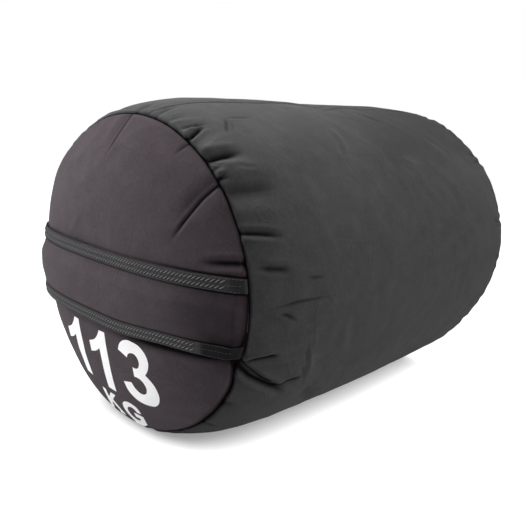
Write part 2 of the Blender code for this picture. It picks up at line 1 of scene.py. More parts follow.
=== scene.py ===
"""Filled sandbag trainer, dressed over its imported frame.

Every length is in metres, in the frame that the solids use: the bag's axis runs along Y, its
filling end faces -Y and it rests on z = 0. Each cloth is a face with two coordinates, and its
place on the bag is a smooth form, minus a turned edge at the seams, minus the push of its folds.
"""

import logging
import math
from collections.abc import Callable
from dataclasses import dataclass, field, replace
from enum import Enum

import bmesh
import bpy
import numpy as np
from mathutils import Matrix, Vector


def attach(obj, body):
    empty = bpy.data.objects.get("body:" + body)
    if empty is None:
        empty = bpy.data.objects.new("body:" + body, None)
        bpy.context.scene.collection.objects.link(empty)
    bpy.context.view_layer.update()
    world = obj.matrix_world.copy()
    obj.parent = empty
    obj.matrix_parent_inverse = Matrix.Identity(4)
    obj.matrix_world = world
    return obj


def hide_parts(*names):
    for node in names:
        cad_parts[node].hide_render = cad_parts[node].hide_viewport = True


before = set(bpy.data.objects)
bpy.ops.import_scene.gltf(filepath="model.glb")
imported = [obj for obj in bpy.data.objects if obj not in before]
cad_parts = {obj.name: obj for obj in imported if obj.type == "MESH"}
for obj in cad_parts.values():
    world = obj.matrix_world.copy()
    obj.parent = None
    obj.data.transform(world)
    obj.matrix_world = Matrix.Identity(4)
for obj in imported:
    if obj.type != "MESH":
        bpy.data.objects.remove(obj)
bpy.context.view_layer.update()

Array = np.ndarray
Socket = bpy.types.NodeSocket
LOG = logging.getLogger("sandbag")
CLOTH_MAP = "cloth_map"
# Point map of wear, and below 0 of painted shade in seams, folds and at the band's edges.
WEAR_AND_SHADE_MAP = "wear"
# Sides of a sewing thread, points along a stitch, and bands of its twist in one turn.
THREAD_SIDES = 4
STITCH_STEPS = 5
TWIST_TURN = 6.3


def smooth(share: Array) -> Array:
    """Ease from 0 to 1 with level ends: 3s^2 - 2s^3 of the share s held within 0 and 1."""
    held = np.clip(share, 0.0, 1.0)
    return held * held * (3 - 2 * held)


def unit(vectors: Array) -> Array:
    """Vectors divided by their lengths."""
    return vectors / np.maximum(np.linalg.norm(vectors, axis=-1, keepdims=True), 1e-12)


def graded(*runs: tuple[float, int]) -> Array:
    """Places from 0, in runs of even steps.

    Args:
        runs: each run's end and its count of steps.

    Returns:
        One rising array that has every run's end in it.
    """
    places = [np.zeros(1)]
    for end, count in runs:
        places.append(np.linspace(places[-1][-1], end, count + 1)[1:])
    return np.concatenate(places)


@dataclass(frozen=True)
class Fold:
    """A crease pressed into a cloth along a path on its flat plane.

    The push is the depth times a peaked bell exp(-r^1.4) of the distance r from the path in
    widths, less two low lips beside it. It grows from the start share over the first 0.3 of the
    path and fades to nothing over the fade's share of it at its far end.
    """

    path: tuple[tuple[float, float], ...]
    width: float
    depth: float
    start: float = 1.0
    lips: float = 0.30
    fade: float = 0.6
    # Strength of the painted shade in the fold.
    dark: float = 0.6

    def trace(self, u: Array, v: Array) -> tuple[Array, Array, Array]:
        """Find what lies near the path.

        Args:
            u: first coordinates.
            v: second coordinates.

        Returns:
            Which places lie near it, and for those the fold's strength and their r.
        """
        points = np.array(self.path)
        reach = 4 * self.width
        low, high = points.min(axis=0) - reach, points.max(axis=0) + reach
        near = (u > low[0]) & (u < high[0]) & (v > low[1]) & (v < high[1])
        pu, pv = u[near], v[near]
        steps = np.diff(points, axis=0)
        lengths = np.hypot(steps[:, 0], steps[:, 1])
        total, done = lengths.sum(), 0.0
        away, along = np.full(pu.shape, 1e9), np.zeros(pu.shape)
        for point, step, length in zip(points, steps, lengths):
            du, dv = pu - point[0], pv - point[1]
            share = np.clip((du * step[0] + dv * step[1]) / length**2, 0, 1)
            gap = np.hypot(du - share * step[0], dv - share * step[1])
            along = np.where(gap < away, (done + share * length) / total, along)
            away = np.minimum(gap, away)
            done += length
        ease = smooth(along / 0.3)
        strength = (self.start + (1 - self.start) * ease) * smooth((1 - along) / self.fade)
        return near, strength, away / self.width

    def spread(self, u: Array, v: Array, most: float, bell: Callable[[Array], Array]) -> Array:
        """Lay a bell along the path.

        Args:
            u: first coordinates.
            v: second coordinates.
            most: its height on the path.
            bell: its share of that height at each r.

        Returns:
            The bell times the fold's strength, and 0 away from the path.
        """
        near, strength, r = self.trace(u, v)
        out = np.zeros(np.shape(u))
        out[near] = most * strength * bell(r)
        return out

    def profile(self, r: Array) -> Array:
        """The push across the fold: exp(-r^1.4) less the lips' bell, which is widest at r = 2."""
        return np.exp(-(r**1.4)) - self.lips * np.exp(-(((r - 2.0) / 0.8) ** 2))

    def push(self, u: Array, v: Array) -> Array:
        """How far the fold presses in at places (u, v)."""
        return self.spread(u, v, self.depth, self.profile)

    def shade(self, u: Array, v: Array) -> Array:
        """Painted shade in the fold: a bell exp(-(r / 0.75)^2), narrower than the push."""
        return self.spread(u, v, self.dark, lambda r: np.exp(-((r / 0.75) ** 2)))


@dataclass(frozen=True)
class Lumps:
    """Smooth unevenness through space, the same for every cloth that meets at a seam.

    The push is the height times a sum of cosines along seeded directions, with wavelengths about
    the size. Where it is creased, it is the height times (2 |sum| - 1), which leaves soft ridges
    where the sum is 0.
    """

    seed: int
    size: float
    height: float
    creased: bool = False
    waves: int = 12

    def push(self, places: Array) -> Array:
        """How far the cloth is pressed in.

        Args:
            places: places in space.

        Returns:
            The push at each of them.
        """
        rng = np.random.default_rng(self.seed)
        ways = unit(rng.normal(size=(self.waves, 3)))
        turns = 2 * math.pi / (self.size * rng.uniform(0.7, 1.4, self.waves))
        starts = rng.uniform(0, 2 * math.pi, self.waves)
        total = np.zeros(places.shape[:-1])
        for way, turn, start in zip(ways, turns, starts):
            total += np.cos(places @ (way * turn) + start)
        total /= math.sqrt(self.waves / 2)
        if self.creased:
            return self.height * (2 * np.minimum(np.abs(total), 1.0) - 1)
        return self.height * total


@dataclass(frozen=True)
class TurnedEdge:
    """How a cloth curls in towards the seam that it shares with the next cloth.

    Both cloths bend round an arc of the given radius until they lie against each other on the
    line that halves the corner between them. half_corner is the angle from the cloth to that line.
    """

    radius: float
    half_corner: float

    @property
    def run(self) -> float:
        """Distance from the corner where the arc begins: radius times cot(half_corner / 2)."""
        return self.radius / math.tan(math.radians(self.half_corner) / 2)

    def bend(self, distance: Array, radius_share: Array) -> tuple[Array, Array]:
        """Where a place near the edge goes.

        With a = (180 - half_corner) times the share of the run that is passed, the place lies
        run - radius sin a from the corner and radius (1 - cos a) below the cloth.

        Args:
            distance: distance from the seam along the cloth's plane.
            radius_share: the arc's radius over its usual one, for each place.

        Returns:
            The new distance from the corner, and the depth below the cloth.
        """
        turned = math.pi - math.radians(self.half_corner)
        angle = turned * np.clip(1 - distance / self.run, 0, 1)
        moved = self.run - self.radius * radius_share * np.sin(angle)
        sink = self.radius * radius_share * (1 - np.cos(angle))
        return np.where(distance < self.run, moved, distance), sink


@dataclass(frozen=True)
class BagShape:
    """Sizes of the filled bag, as its solids have them."""

    middle_width: float = 0.4264
    middle_height: float = 0.4056
    front_width: float = 0.3814
    front_height: float = 0.3628
    rear_width: float = 0.4168
    rear_height: float = 0.3960
    rim_to_rim: float = 0.5040
    settle: float = 0.0156
    front_bulge: float = 0.0340
    dome_radius: float = 0.55176
    pillow_bulge: float = 0.0376
    pillow_power: float = 3.1
    rear_bulge: float = 0.0310
    rear_lean: float = 0.0297
    zip_drop: float = 0.0075
    front_rim_y: float = -0.24881
    side_power: int = 6
    floor_ease: float = 0.003
    zip_flat: float = 0.014
    zip_ease: float = 0.020

    @property
    def centre_z(self) -> float:
        """Height of the bag's axis."""
        return self.middle_height / 2 - self.settle

    @property
    def zip_z(self) -> float:
        """Height of the zip's line."""
        return self.centre_z - self.zip_drop

    def rest(self, z: Array) -> Array:
        """Heights kept above the floor: (z + sqrt(z^2 + ease^2)) / 2."""
        return (z + np.sqrt(z * z + self.floor_ease**2)) / 2

    def half_sizes(self, share: Array) -> tuple[Array, Array]:
        """Half sizes of the section.

        Each runs straight from the front's to the rear's and swells towards the middle's by
        1 - |2 share - 1|^6.

        Args:
            share: share of the length.

        Returns:
            Half width and half height there.
        """
        swell = 1 - np.abs(2 * share - 1) ** self.side_power
        sizes = []
        for front, middle, rear in (
            (self.front_width, self.middle_width, self.rear_width),
            (self.front_height, self.middle_height, self.rear_height),
        ):
            straight = front + (rear - front) * share
            sizes.append((straight + (middle - straight) * swell) / 2)
        return sizes[0], sizes[1]

    def tube(self, angle: Array, along: Array) -> Array:
        """Side wall: an oval of the half sizes at each distance along, leaning back at the top.

        Args:
            angle: angle round the axis, from the right side up.
            along: distance from the front rim.

        Returns:
            Places in space.
        """
        share = along / self.rim_to_rim
        half_width, half_height = self.half_sizes(share)
        x = half_width * np.cos(angle)
        z = self.rest(self.centre_z + half_height * np.sin(angle))
        lean = self.rear_lean * (z - self.centre_z) / (self.rear_height / 2) * share**2
        return np.stack([x, self.front_rim_y + along + lean, z], axis=-1)

    def front_share(self, x: Array, rise: Array) -> tuple[Array, Array]:
        """Where a place of the filling end lies within its oval.

        Args:
            x: distance across from the middle.
            rise: height above the zip's line.

        Returns:
            Share of the way out to the rim, and the rim's angle there.
        """
        across = x / (self.front_width / 2)
        up = (rise - self.zip_drop) / (self.front_height / 2)
        return np.hypot(across, up), np.arctan2(up, across)

    def front_reach(self, rise: Array | float) -> Array:
        """Half width of the filling end at a rise above the zip's line."""
        up = (rise - self.zip_drop) / (self.front_height / 2)
        return self.front_width / 2 * np.sqrt(1 - up**2)

    def pillow(self, x: Array, rise: Array, zip_side: bool) -> Array:
        """Filling end: bulge times (1 - share^3.1), eased into the round dome along the zip.

        Args:
            x: distance across from the middle.
            rise: height above the zip's line.
            zip_side: whether the cloth follows the dome along the zip.

        Returns:
            Places in space.
        """
        share, _ = self.front_share(x, rise)
        full = self.pillow_bulge * (1 - np.minimum(share, 1.1) ** self.pillow_power)
        if zip_side:
            out = share * self.front_width / 2
            dome = np.sqrt(self.dome_radius**2 - out**2) - self.dome_radius + self.front_bulge
            full = dome + (full - dome) * smooth((np.abs(rise) - self.zip_flat) / self.zip_ease)
        return np.stack([x, self.front_rim_y - full, self.zip_z + rise], axis=-1)

    def rear(self, across: Array, up: Array) -> Array:
        """Rear end: bulge times (1 - share^2) behind a rim that leans back at the top.

        Args:
            across: share of the rear's half width.
            up: share of its half height.

        Returns:
            Places in space.
        """
        share = np.hypot(across, up)
        z = self.rest(self.centre_z + up * self.rear_height / 2)
        lean = self.rear_lean * (z - self.centre_z) / (self.rear_height / 2)
        y = self.front_rim_y + self.rim_to_rim + self.rear_bulge * (1 - share**2) + lean
        return np.stack([across * self.rear_width / 2, y, z], axis=-1)


BAG = BagShape()
FRONT_TURN = TurnedEdge(radius=0.0030, half_corner=75.5)
REAR_TURN = TurnedEdge(radius=0.0030, half_corner=55.6)
# How steeply each end meets its rim, and seeds of the waves in its turned edge.
FRONT_SLOPE = math.cos(math.radians(32))
REAR_SLOPE = math.cos(math.radians(16.6))
FRONT_SLACK_SEED = 11
REAR_SLACK_SEED = 12
# Radius that turns angles round the bag into lengths, and the least height over the floor.
ARC_RADIUS = 0.200
FLOOR_GAP = 0.0002
# How far a seam draws its cloths in, where folds are full again, and the reach of a rim's pull.
SEAM_FADE = 0.007
FOLD_EASE = 0.006
RIM_FADE = 0.045
# Half length of hook and loop, how far the band's free edge is drawn up, and over what height.
FASTENER_REACH = 0.1487
BAND_DRAWN_UP = 0.0064
BAND_DRAWN_RUN = 0.0385
SEAMS: dict[str, "SeamLine"] = {}


def seam_slack(angle: Array, seed: int) -> Array:
    """Unevenness of a turned edge: 1 plus a few slow waves.

    Args:
        angle: angles round the bag.
        seed: seed of the waves' starts.

    Returns:
        Share of the usual radius at each angle.
    """
    rng = np.random.default_rng(seed)
    share = np.ones(np.shape(angle))
    for turns in (5, 9, 14, 23):
        share += 0.10 * np.cos(turns * angle + rng.uniform(0, 2 * math.pi))
    return share


@dataclass(frozen=True)
class RimPull:
    """A stretch of the front rim that is drawn in, or pushed out where the depth is negative."""

    angle: float
    spread_below: float
    spread_above: float
    depth: float

    def at(self, angle: Array) -> Array:
        """Depth times a bell of the distance from the middle, over the spread on its side.

        Args:
            angle: angles round the bag.

        Returns:
            How far the rim is drawn in at each.
        """
        away = np.angle(np.exp(1j * (angle - math.radians(self.angle))))
        spread = np.where(away < 0, self.spread_below, self.spread_above)
        return self.depth * np.exp(-((away / np.radians(spread)) ** 2))


RIM_PULLS = (
    RimPull(-18.3, 4.8, 2.2, 0.0065),
    RimPull(148.0, 16.0, 16.0, -0.0030),
    RimPull(-165.0, 28.0, 22.0, 0.0064),
)


def rim_pull(angle: Array) -> Array:
    """How far the front rim is drawn in at each angle."""
    return sum(pull.at(angle) for pull in RIM_PULLS)


def draw_rim(points: Array, angle: Array, share: Array) -> Array:
    """Draw a form in with the front rim.

    Args:
        points: places of the form, changed in place.
        angle: their angles round the bag.
        share: how much of the rim's pull each has.

    Returns:
        The places, moved towards the axis by the pull times the share.
    """
    pull = rim_pull(angle) * share
    points[..., 0] -= pull * np.cos(angle)
    points[..., 2] -= pull * np.sin(angle)
    return points


def onto_seam(name: str, side: int, angle: Array, gap: Array) -> Array:
    """Move of a cloth's edge onto its seam, less and less up to 7 mm from it.

    Args:
        name: the seam.
        side: 1 for the seam's first cloth, -1 for its second.
        angle: angles round the bag.
        gap: distances from the seam.

    Returns:
        The moves, which are nothing until the seam's line is known.
    """
    if name not in SEAMS:
        return np.zeros(gap.shape + (3,))
    return SEAMS[name].pull(angle, side) * (1 - smooth(gap / SEAM_FADE))[..., None]


class ClothFace:
    """A cloth laid on the bag's form. Its coordinates (u, v) lie on the cloth's own plane."""

    outward: float = 1.0
    seam: str = "front"
    probe: float = 0.0004
    # Painted shade in the seam's valley: its strength, its width, and more width at the lower
    # right.
    seam_shade: float = 1.2
    seam_shade_width: float = 0.0021
    corner_shade_width: float = 0.0012
    lip_height: float = 0.004

    def __init__(self, folds: tuple[Fold, ...], lumps: tuple[Lumps, ...]) -> None:
        """Keep the folds of this cloth and the unevenness that it shares with its neighbours."""
        self.folds = folds
        self.lumps = lumps

    def form(self, u: Array, v: Array) -> Array:
        """Smooth form that the cloth lies on."""
        raise NotImplementedError

    def turn(self, u: Array, v: Array) -> tuple[Array, Array, Array, Array]:
        """New coordinates, depth below the form and share of the folds at places near a seam."""
        raise NotImplementedError

    def facing(self, u: Array, v: Array) -> Array:
        """Outward direction of the form: the cross product of its two slopes.

        Args:
            u: first coordinates.
            v: second coordinates.

        Returns:
            Directions of length 1.
        """
        step = self.probe
        du = self.form(u + step, v) - self.form(u - step, v)
        dv = self.form(u, v + step) - self.form(u, v - step)
        return self.outward * unit(np.cross(du, dv))

    def place(self, u: Array, v: Array, lift: Array | float = 0.0) -> Array:
        """Places in space of the cloth's points.

        Args:
            u: first coordinate.
            v: second coordinate.
            lift: distance to stand proud of the cloth.

        Returns:
            The form's point, moved along its outward direction by lift - depth - push.
        """
        u, v = np.broadcast_arrays(np.asarray(u, float), np.asarray(v, float))
        moved_u, moved_v, sink, share = self.turn(u, v)
        points = self.form(moved_u, moved_v)
        ways = self.facing(moved_u, moved_v)
        push = np.zeros(u.shape)
        for lump in self.lumps:
            push += lump.push(points)
        for fold in self.folds:
            push += fold.push(u, v)
        out = points + ways * (np.asarray(lift) - sink - push * share)[..., None]
        out += self.draw_in(u, v)
        out[..., 2] = np.maximum(out[..., 2], FLOOR_GAP)
        return out

    def draw_in(self, u: Array, v: Array) -> Array:
        """Move that brings the cloth's rim onto its seam."""
        away, angle = self.from_seam(u, v)
        return onto_seam(self.seam, -1, angle, away)

    def from_seam(self, u: Array, v: Array) -> tuple[Array, Array]:
        """Distance from the nearest seam along the cloth, and the angle there."""
        raise NotImplementedError

    def relief(self, u: Array, v: Array) -> Array:
        """Wear and painted shade of the cloth: painted shade low in a fold or at the seam, rubbed
        high on a fold's lip.

        Args:
            u: first coordinates.
            v: second coordinates.

        Returns:
            -1 where painted shade darkens the cloth most, to 1 where it is rubbed.
        """
        away, angle = self.from_seam(u, v)
        # Painted shade along the seam, wider at the lower right, and painted shade in each fold.
        wide = self.seam_shade_width + self.corner_shade_width * np.exp(-(((angle + 0.62) / 0.40) ** 2))
        total = -self.seam_shade * np.exp(-((away / wide) ** 2))
        for fold in self.folds:
            total += np.maximum(-fold.push(u, v), 0) / self.lip_height
            if fold.depth > 0:
                total -= fold.shade(u, v)
        return np.clip(total, -1, 1)


class SeamLine:
    """Line that two cloths share, halfway between where each would end by itself."""

    steps: int = 1440

    def __init__(self, first: Array, second: Array) -> None:
        """Keep half the way from each cloth's edge to the other's, at even angles from -90."""
        self.half_way = (second - first) / 2

    def pull(self, angle: Array, side: int) -> Array:
        """Move of one cloth's edge.

        Args:
            angle: angles round the bag.
            side: 1 for the first cloth, -1 for the second.

        Returns:
            The move onto the line at each angle.
        """
        turn = (angle + math.pi / 2) / (2 * math.pi) % 1 * self.steps
        marks = np.arange(self.steps + 1)
        closed = np.concatenate([self.half_way, self.half_way[:1]])
        return side * np.stack([np.interp(turn, marks, part) for part in closed.T], axis=-1)

    @classmethod
    def angles(cls) -> Array:
        """The angles that the line is kept at."""
        return np.arange(cls.steps) * 2 * math.pi / cls.steps - math.pi / 2


class TubeFace(ClothFace):
    """Side cloth. u is the angle round the bag times 0.2 m, v the distance from the front rim."""

    outward: float = -1.0

    def form(self, u: Array, v: Array) -> Array:
        """The side wall, drawn in with the front rim by exp(-v / 45 mm) of its pull."""
        angle = u / ARC_RADIUS
        return draw_rim(BAG.tube(angle, v), angle, np.exp(-np.maximum(v, 0) / RIM_FADE))

    def turn(self, u: Array, v: Array) -> tuple[Array, Array, Array, Array]:
        """Curl both ends in. Folds reach their full share 6 mm from a seam.

        Args:
            u: first coordinates.
            v: second coordinates.

        Returns:
            New coordinates, depth below the form and share of the folds.
        """
        angle = u / ARC_RADIUS
        front, front_sink = FRONT_TURN.bend(v, seam_slack(angle, FRONT_SLACK_SEED))
        back = BAG.rim_to_rim - v
        rear, rear_sink = REAR_TURN.bend(back, seam_slack(angle, REAR_SLACK_SEED))
        moved = np.where(v < BAG.rim_to_rim / 2, front, BAG.rim_to_rim - rear)
        share = smooth(np.minimum(v, back) / FOLD_EASE)
        return u, moved, front_sink + rear_sink, share

    def from_seam(self, u: Array, v: Array) -> tuple[Array, Array]:
        """Distance from the nearer end, and the angle."""
        return np.minimum(v, BAG.rim_to_rim - v), u / ARC_RADIUS

    def draw_in(self, u: Array, v: Array) -> Array:
        """Move that brings both ends onto their seams."""
        angle, back = u / ARC_RADIUS, BAG.rim_to_rim - v
        return onto_seam("front", 1, angle, v) + onto_seam("rear", 1, angle, back)


class FrontFace(ClothFace):
    """Filling end. u is the distance across from the middle, v the rise above the zip's line."""

    def __init__(self, folds: tuple[Fold, ...], lumps: tuple[Lumps, ...], zip_side: bool) -> None:
        """Keep the folds, and whether the cloth lies along the zip or bridges it."""
        super().__init__(folds, lumps)
        self.zip_side = zip_side

    def form(self, u: Array, v: Array) -> Array:
        """The pillowed end, drawn in with the side cloth over the outer fifth."""
        share, angle = BAG.front_share(u, v)
        return draw_rim(BAG.pillow(u, v, self.zip_side), angle, smooth((share - 0.80) / 0.20))

    def edge_distance(self, u: Array, v: Array) -> tuple[Array, Array, Array]:
        """Where a place lies from the rim.

        Args:
            u: first coordinates.
            v: second coordinates.

        Returns:
            Distance inwards from the rim, the rim's angle, and its distance from its middle.
        """
        share, angle = BAG.front_share(u, v)
        across, up = BAG.front_width / 2 * np.cos(angle), BAG.front_height / 2 * np.sin(angle)
        reach = np.hypot(across, up)
        return (1 - share) * reach, angle, reach

    def turn(self, u: Array, v: Array) -> tuple[Array, Array, Array, Array]:
        """Curl the cloth in at the rim. Along the zip it has only 0.35 of its folds.

        Args:
            u: first coordinates.
            v: second coordinates.

        Returns:
            New coordinates, depth below the form and share of the folds.
        """
        away, angle, reach = self.edge_distance(u, v)
        moved, sink = FRONT_TURN.bend(away / FRONT_SLOPE, seam_slack(angle, FRONT_SLACK_SEED))
        keep = (1 - moved * FRONT_SLOPE / reach) / np.maximum(1 - away / reach, 1e-9)
        rise = BAG.zip_drop + (v - BAG.zip_drop) * keep
        share = smooth(away / FOLD_EASE)
        if self.zip_side:
            share = share * (0.35 + 0.65 * smooth((np.abs(v) - BAG.zip_flat) / 0.030))
        return u * keep, rise, sink, share

    def from_seam(self, u: Array, v: Array) -> tuple[Array, Array]:
        """Distance from the rim, and the angle."""
        return self.edge_distance(u, v)[:2]


class RearFace(ClothFace):
    """Rear end. u and v are distances from the middle of a disc, as shares times 0.2 m."""

    outward: float = -1.0
    seam: str = "rear"

    def form(self, u: Array, v: Array) -> Array:
        """The domed rear end."""
        return BAG.rear(u / ARC_RADIUS, v / ARC_RADIUS)

    def turn(self, u: Array, v: Array) -> tuple[Array, Array, Array, Array]:
        """Curl the cloth in at the rim.

        Args:
            u: first coordinates.
            v: second coordinates.

        Returns:
            New coordinates, depth below the form and share of the folds.
        """
        away, angle = self.from_seam(u, v)
        moved, sink = REAR_TURN.bend(away / REAR_SLOPE, seam_slack(angle, REAR_SLACK_SEED))
        keep = (ARC_RADIUS - moved * REAR_SLOPE) / np.maximum(ARC_RADIUS - away, 1e-9)
        return u * keep, v * keep, sink, smooth(away / FOLD_EASE)

    def from_seam(self, u: Array, v: Array) -> tuple[Array, Array]:
        """Distance from the rim, and the angle."""
        return ARC_RADIUS - np.hypot(u, v), np.arctan2(v, u)


def seam_puckers(
    seed: int, count: int, edge: float, inward: float, reach: tuple[float, float],
    depth: tuple[float, float], width: tuple[float, float], dark: float,
    spared: tuple[float, float] = (0.0, 0.0),
) -> tuple[Fold, ...]:
    """Small folds that start at a seam all round the side cloth and run off it.

    Args:
        seed: seed of their sizes.
        count: how many.
        edge: the seam's v.
        inward: 1 where the folds run towards larger v, -1 where they run back.
        reach: shortest and longest.
        depth: shallowest and deepest.
        width: narrowest and widest.
        dark: how much painted shade they hold.
        spared: stretch of u without any, where folds with places of their own run.

    Returns:
        The folds, in order round the bag.
    """
    rng = np.random.default_rng(seed)
    folds = []
    for place in (np.arange(count) + rng.uniform(-0.32, 0.32, count)) / count:
        u = ARC_RADIUS * (2 * math.pi * place - math.pi / 2)
        length = rng.uniform(*reach)
        slant = rng.normal(0, 0.22) * length
        bend = rng.normal(0, 0.06) * length
        path = (
            (u, edge),
            (u + slant * 0.5 + bend, edge + inward * length * 0.5),
            (u + slant, edge + inward * length),
        )
        deep = depth[0] + (depth[1] - depth[0]) * rng.uniform() ** 2
        fold = Fold(path, rng.uniform(*width), deep, lips=0.35, dark=dark)
        if not spared[0] < u < spared[1]:
            folds.append(fold)
    return tuple(folds)


def tube_folds() -> tuple[Fold, ...]:
    """Every fold of the side cloth: the placed ones and the small ones off both seams.

    Returns:
        The folds.
    """
    front = seam_puckers(
        21, 34, 0.0, 1, reach=(0.012, 0.040), depth=(0.0010, 0.0034),
        width=(0.0030, 0.0060), dark=0.5, spared=(-0.10, 0.26),
    )
    rear = seam_puckers(
        22, 66, BAG.rim_to_rim, -1, reach=(0.010, 0.040), depth=(0.0002, 0.0032),
        width=(0.0032, 0.0062), dark=0.3,
    )
    return TUBE_FOLDS + front + rear


def radial_puckers(seed: int, count: int) -> tuple[Fold, ...]:
    """Small folds that run in from the rear rim over the base.

    Args:
        seed: seed of their places and sizes.
        count: how many.

    Returns:
        The folds, in order round the rim.
    """
    rng = np.random.default_rng(seed)
    folds = []
    for place in (np.arange(count) + rng.uniform(-0.35, 0.35, count)) / count:
        angle, slant = 2 * math.pi * place, rng.normal(0, 0.05)
        length = rng.uniform(0.018, 0.060)
        path = []
        for far, turn in ((0.0, 0.0), (length / 2, slant / 2), (length, slant)):
            out, at = ARC_RADIUS - far, angle + turn
            path.append((out * math.cos(at), out * math.sin(at)))
        width, depth = rng.uniform(0.0035, 0.0065), rng.uniform(0.0006, 0.0020)
        folds.append(Fold(tuple(path), width, depth, dark=0.3))
    return tuple(folds)


def under_folds() -> tuple[Fold, ...]:
    """Wider dents for what lies under the side cloth's deeper folds.

    Returns:
        One for each fold that is deep enough.
    """
    return tuple(
        replace(fold, width=0.012, depth=1.2 * fold.depth, lips=0.0, start=1.0, fade=0.3)
        for fold in TUBE_FOLDS
        if fold.depth > 0.0015
    )


def crease(path: str, width: float, depth: float, **more: float) -> Fold:
    """Fold along a path in millimetres.

    Args:
        path: its points, each as u,v.
        width: width in metres.
        depth: depth in metres.
        more: the fold's other fields.

    Returns:
        The fold.
    """
    points = (point.split(",") for point in path.split())
    return Fold(tuple((float(u) / 1000, float(v) / 1000) for u, v in points), width, depth, **more)


TUBE_FOLDS: tuple[Fold, ...] = (
    crease("210,-3 215,8 223,25", 0.0036, 0.0052, fade=0.35, dark=1.3),
    crease("229,6 227,21 221,31", 0.0020, 0.0010, start=0.4, dark=0.5, lips=0.4),
    crease("226,56 212,46 200,38", 0.0022, 0.0010, start=0.2, fade=0.3, dark=0.4),
    crease("221,60 208,51 197,44", 0.0020, 0.0007, start=0.2, fade=0.3, dark=0.3),
    crease("227,58 226,75 226,92", 0.0020, 0.0007, start=0.2, fade=0.3, dark=0.3),
    crease("167,5 163,9 160,14", 0.0016, 0.0012, dark=0.7),
    crease("150,3 154,12", 0.0018, 0.0016, dark=0.8),
    crease("156,22 151,34 148,48", 0.0020, 0.0008, start=0.2, dark=0.4),
    crease("232,4 228,16 222,34", 0.0050, 0.0014, dark=0.3),
    crease("252,0 250,14 246,26", 0.0040, 0.0010, dark=0.3),
    crease("190,10 196,24 205,34", 0.0050, -0.0016, lips=0.0),
    crease("176,-3 174,14 170,42", 0.0062, 0.0060, fade=0.5, dark=1.0),
    crease("162,-3 159,15", 0.0026, 0.0024, dark=0.8),
    crease("149,-3 147,14", 0.0026, 0.0024, dark=0.8),
    crease("132,2 128,25 123,62", 0.0115, 0.0052, dark=0.5),
    crease("88,-3 82,20 74,47", 0.0034, 0.0042, fade=0.5, dark=1.1),
    crease("80,2 75,24 70,48", 0.0070, -0.0016, lips=0.0),
    crease("49,10 46,22 42,46", 0.0038, 0.0026, start=0.3, fade=0.4, dark=0.8),
    crease("-55,-6 -67,5 -76,15 -85,31 -96,52 -110,72", 0.0042, 0.0056, fade=0.35, dark=1.0),
    crease("-56,-2 -66,14 -78,29 -91,52", 0.0024, 0.0028, fade=0.3, dark=0.9, lips=0.1),
    crease("-56,0 -57,5 -52,16 -46,38", 0.0040, 0.0044, fade=0.25, dark=1.5, lips=0.1),
    crease("-50,-2 -47,12 -42,27 -35,50", 0.0050, -0.0026, lips=0.0),
    crease("-92,50 -88,66 -86,86", 0.0034, 0.0028, fade=0.35, dark=1.1, lips=0.1),
    crease("-40,76 -52,80 -72,91 -86,92 -104,99", 0.0034, -0.0012, start=0.2, lips=0.0),
    crease("-40,71 -52,74 -70,85 -84,87", 0.0022, 0.0007, start=0.2, dark=0.25),
    crease("-86,50 -83,66 -80,84", 0.0040, -0.0012, lips=0.0),
    crease("-57,10 -43,33 -37,57 -26,78 -6,91", 0.0060, -0.0013, lips=0.0),
    crease("-66,75 -101,97", 0.0040, 0.0012, start=0.0, dark=0.3),
    crease("-104,98 -164,152", 0.0090, 0.0022, start=0.0, dark=0.2),
    crease("5,20 9,50 9,84 7,126", 0.0024, 0.0013, start=0.2, dark=0.7),
    crease("-1,30 -3,38 -13,56", 0.0026, 0.0014, start=0.2, dark=0.75),
    crease("32,62 29,92", 0.0026, 0.0010, start=0.2, dark=0.55),
    crease("228,58 194,33", 0.0050, 0.0009, start=0.0, dark=0.2),
    crease("286,168 249,190 201,186 163,176 123,183 92,203", 0.0420, -0.0040, start=0.5, lips=0.0),
    crease("256,240 226,212 201,196 163,181 123,183 92,203", 0.0100, -0.0012, start=0.2),
    crease("202,186 182,189 159,184 141,183 118,190", 0.0034, 0.0016, start=0.2, dark=0.45),
    crease("204,196 184,199 161,194 140,193", 0.0050, -0.0014, start=0.2, lips=0.0),
    crease("183,375 162,397 138,415", 0.0050, -0.0012, start=0.2, lips=0.0),
    crease("152,284 143,309 138,336", 0.0050, -0.0010, start=0.2, lips=0.0),
    crease("250,300 226,322 204,332", 0.0060, 0.0012, start=0.2, dark=0.2),
    crease("302,268 274,260 244,242", 0.0200, 0.0052, start=0.5, lips=0.2, dark=0.0),
    crease("6,46 6,96 3,140", 0.0065, -0.0011, start=0.0),
    crease("-14,124 -48,134 -78,148", 0.0065, -0.0013, start=0.0),
)
UPPER_FOLDS: tuple[Fold, ...] = (
    crease("5,192 -6,165 -18,136", 0.0018, 0.0012, fade=0.4, dark=0.8, lips=0.1),
    crease("0,190 -12,165 -24,140", 0.0060, 0.0012, dark=0.2),
    crease("150,133 141,123 132,112 104,66", 0.0022, 0.0019, fade=0.3, dark=1.0, lips=0.1),
    crease("146,137 136,126 126,114 100,74", 0.0075, 0.0020, lips=0.1, dark=0.3),
    crease("102,168 96,160 83,147", 0.0022, 0.0011, dark=0.6, lips=0.1),
    crease("192,57 176,56 136,52", 0.0038, 0.0032, fade=0.5, dark=0.95),
)
SHARED_LUMPS = (
    Lumps(31, 0.26, 0.0012),
    Lumps(32, 0.11, 0.0005),
    Lumps(33, 0.075, 0.00022, creased=True),
    Lumps(34, 0.034, 0.00007),
)


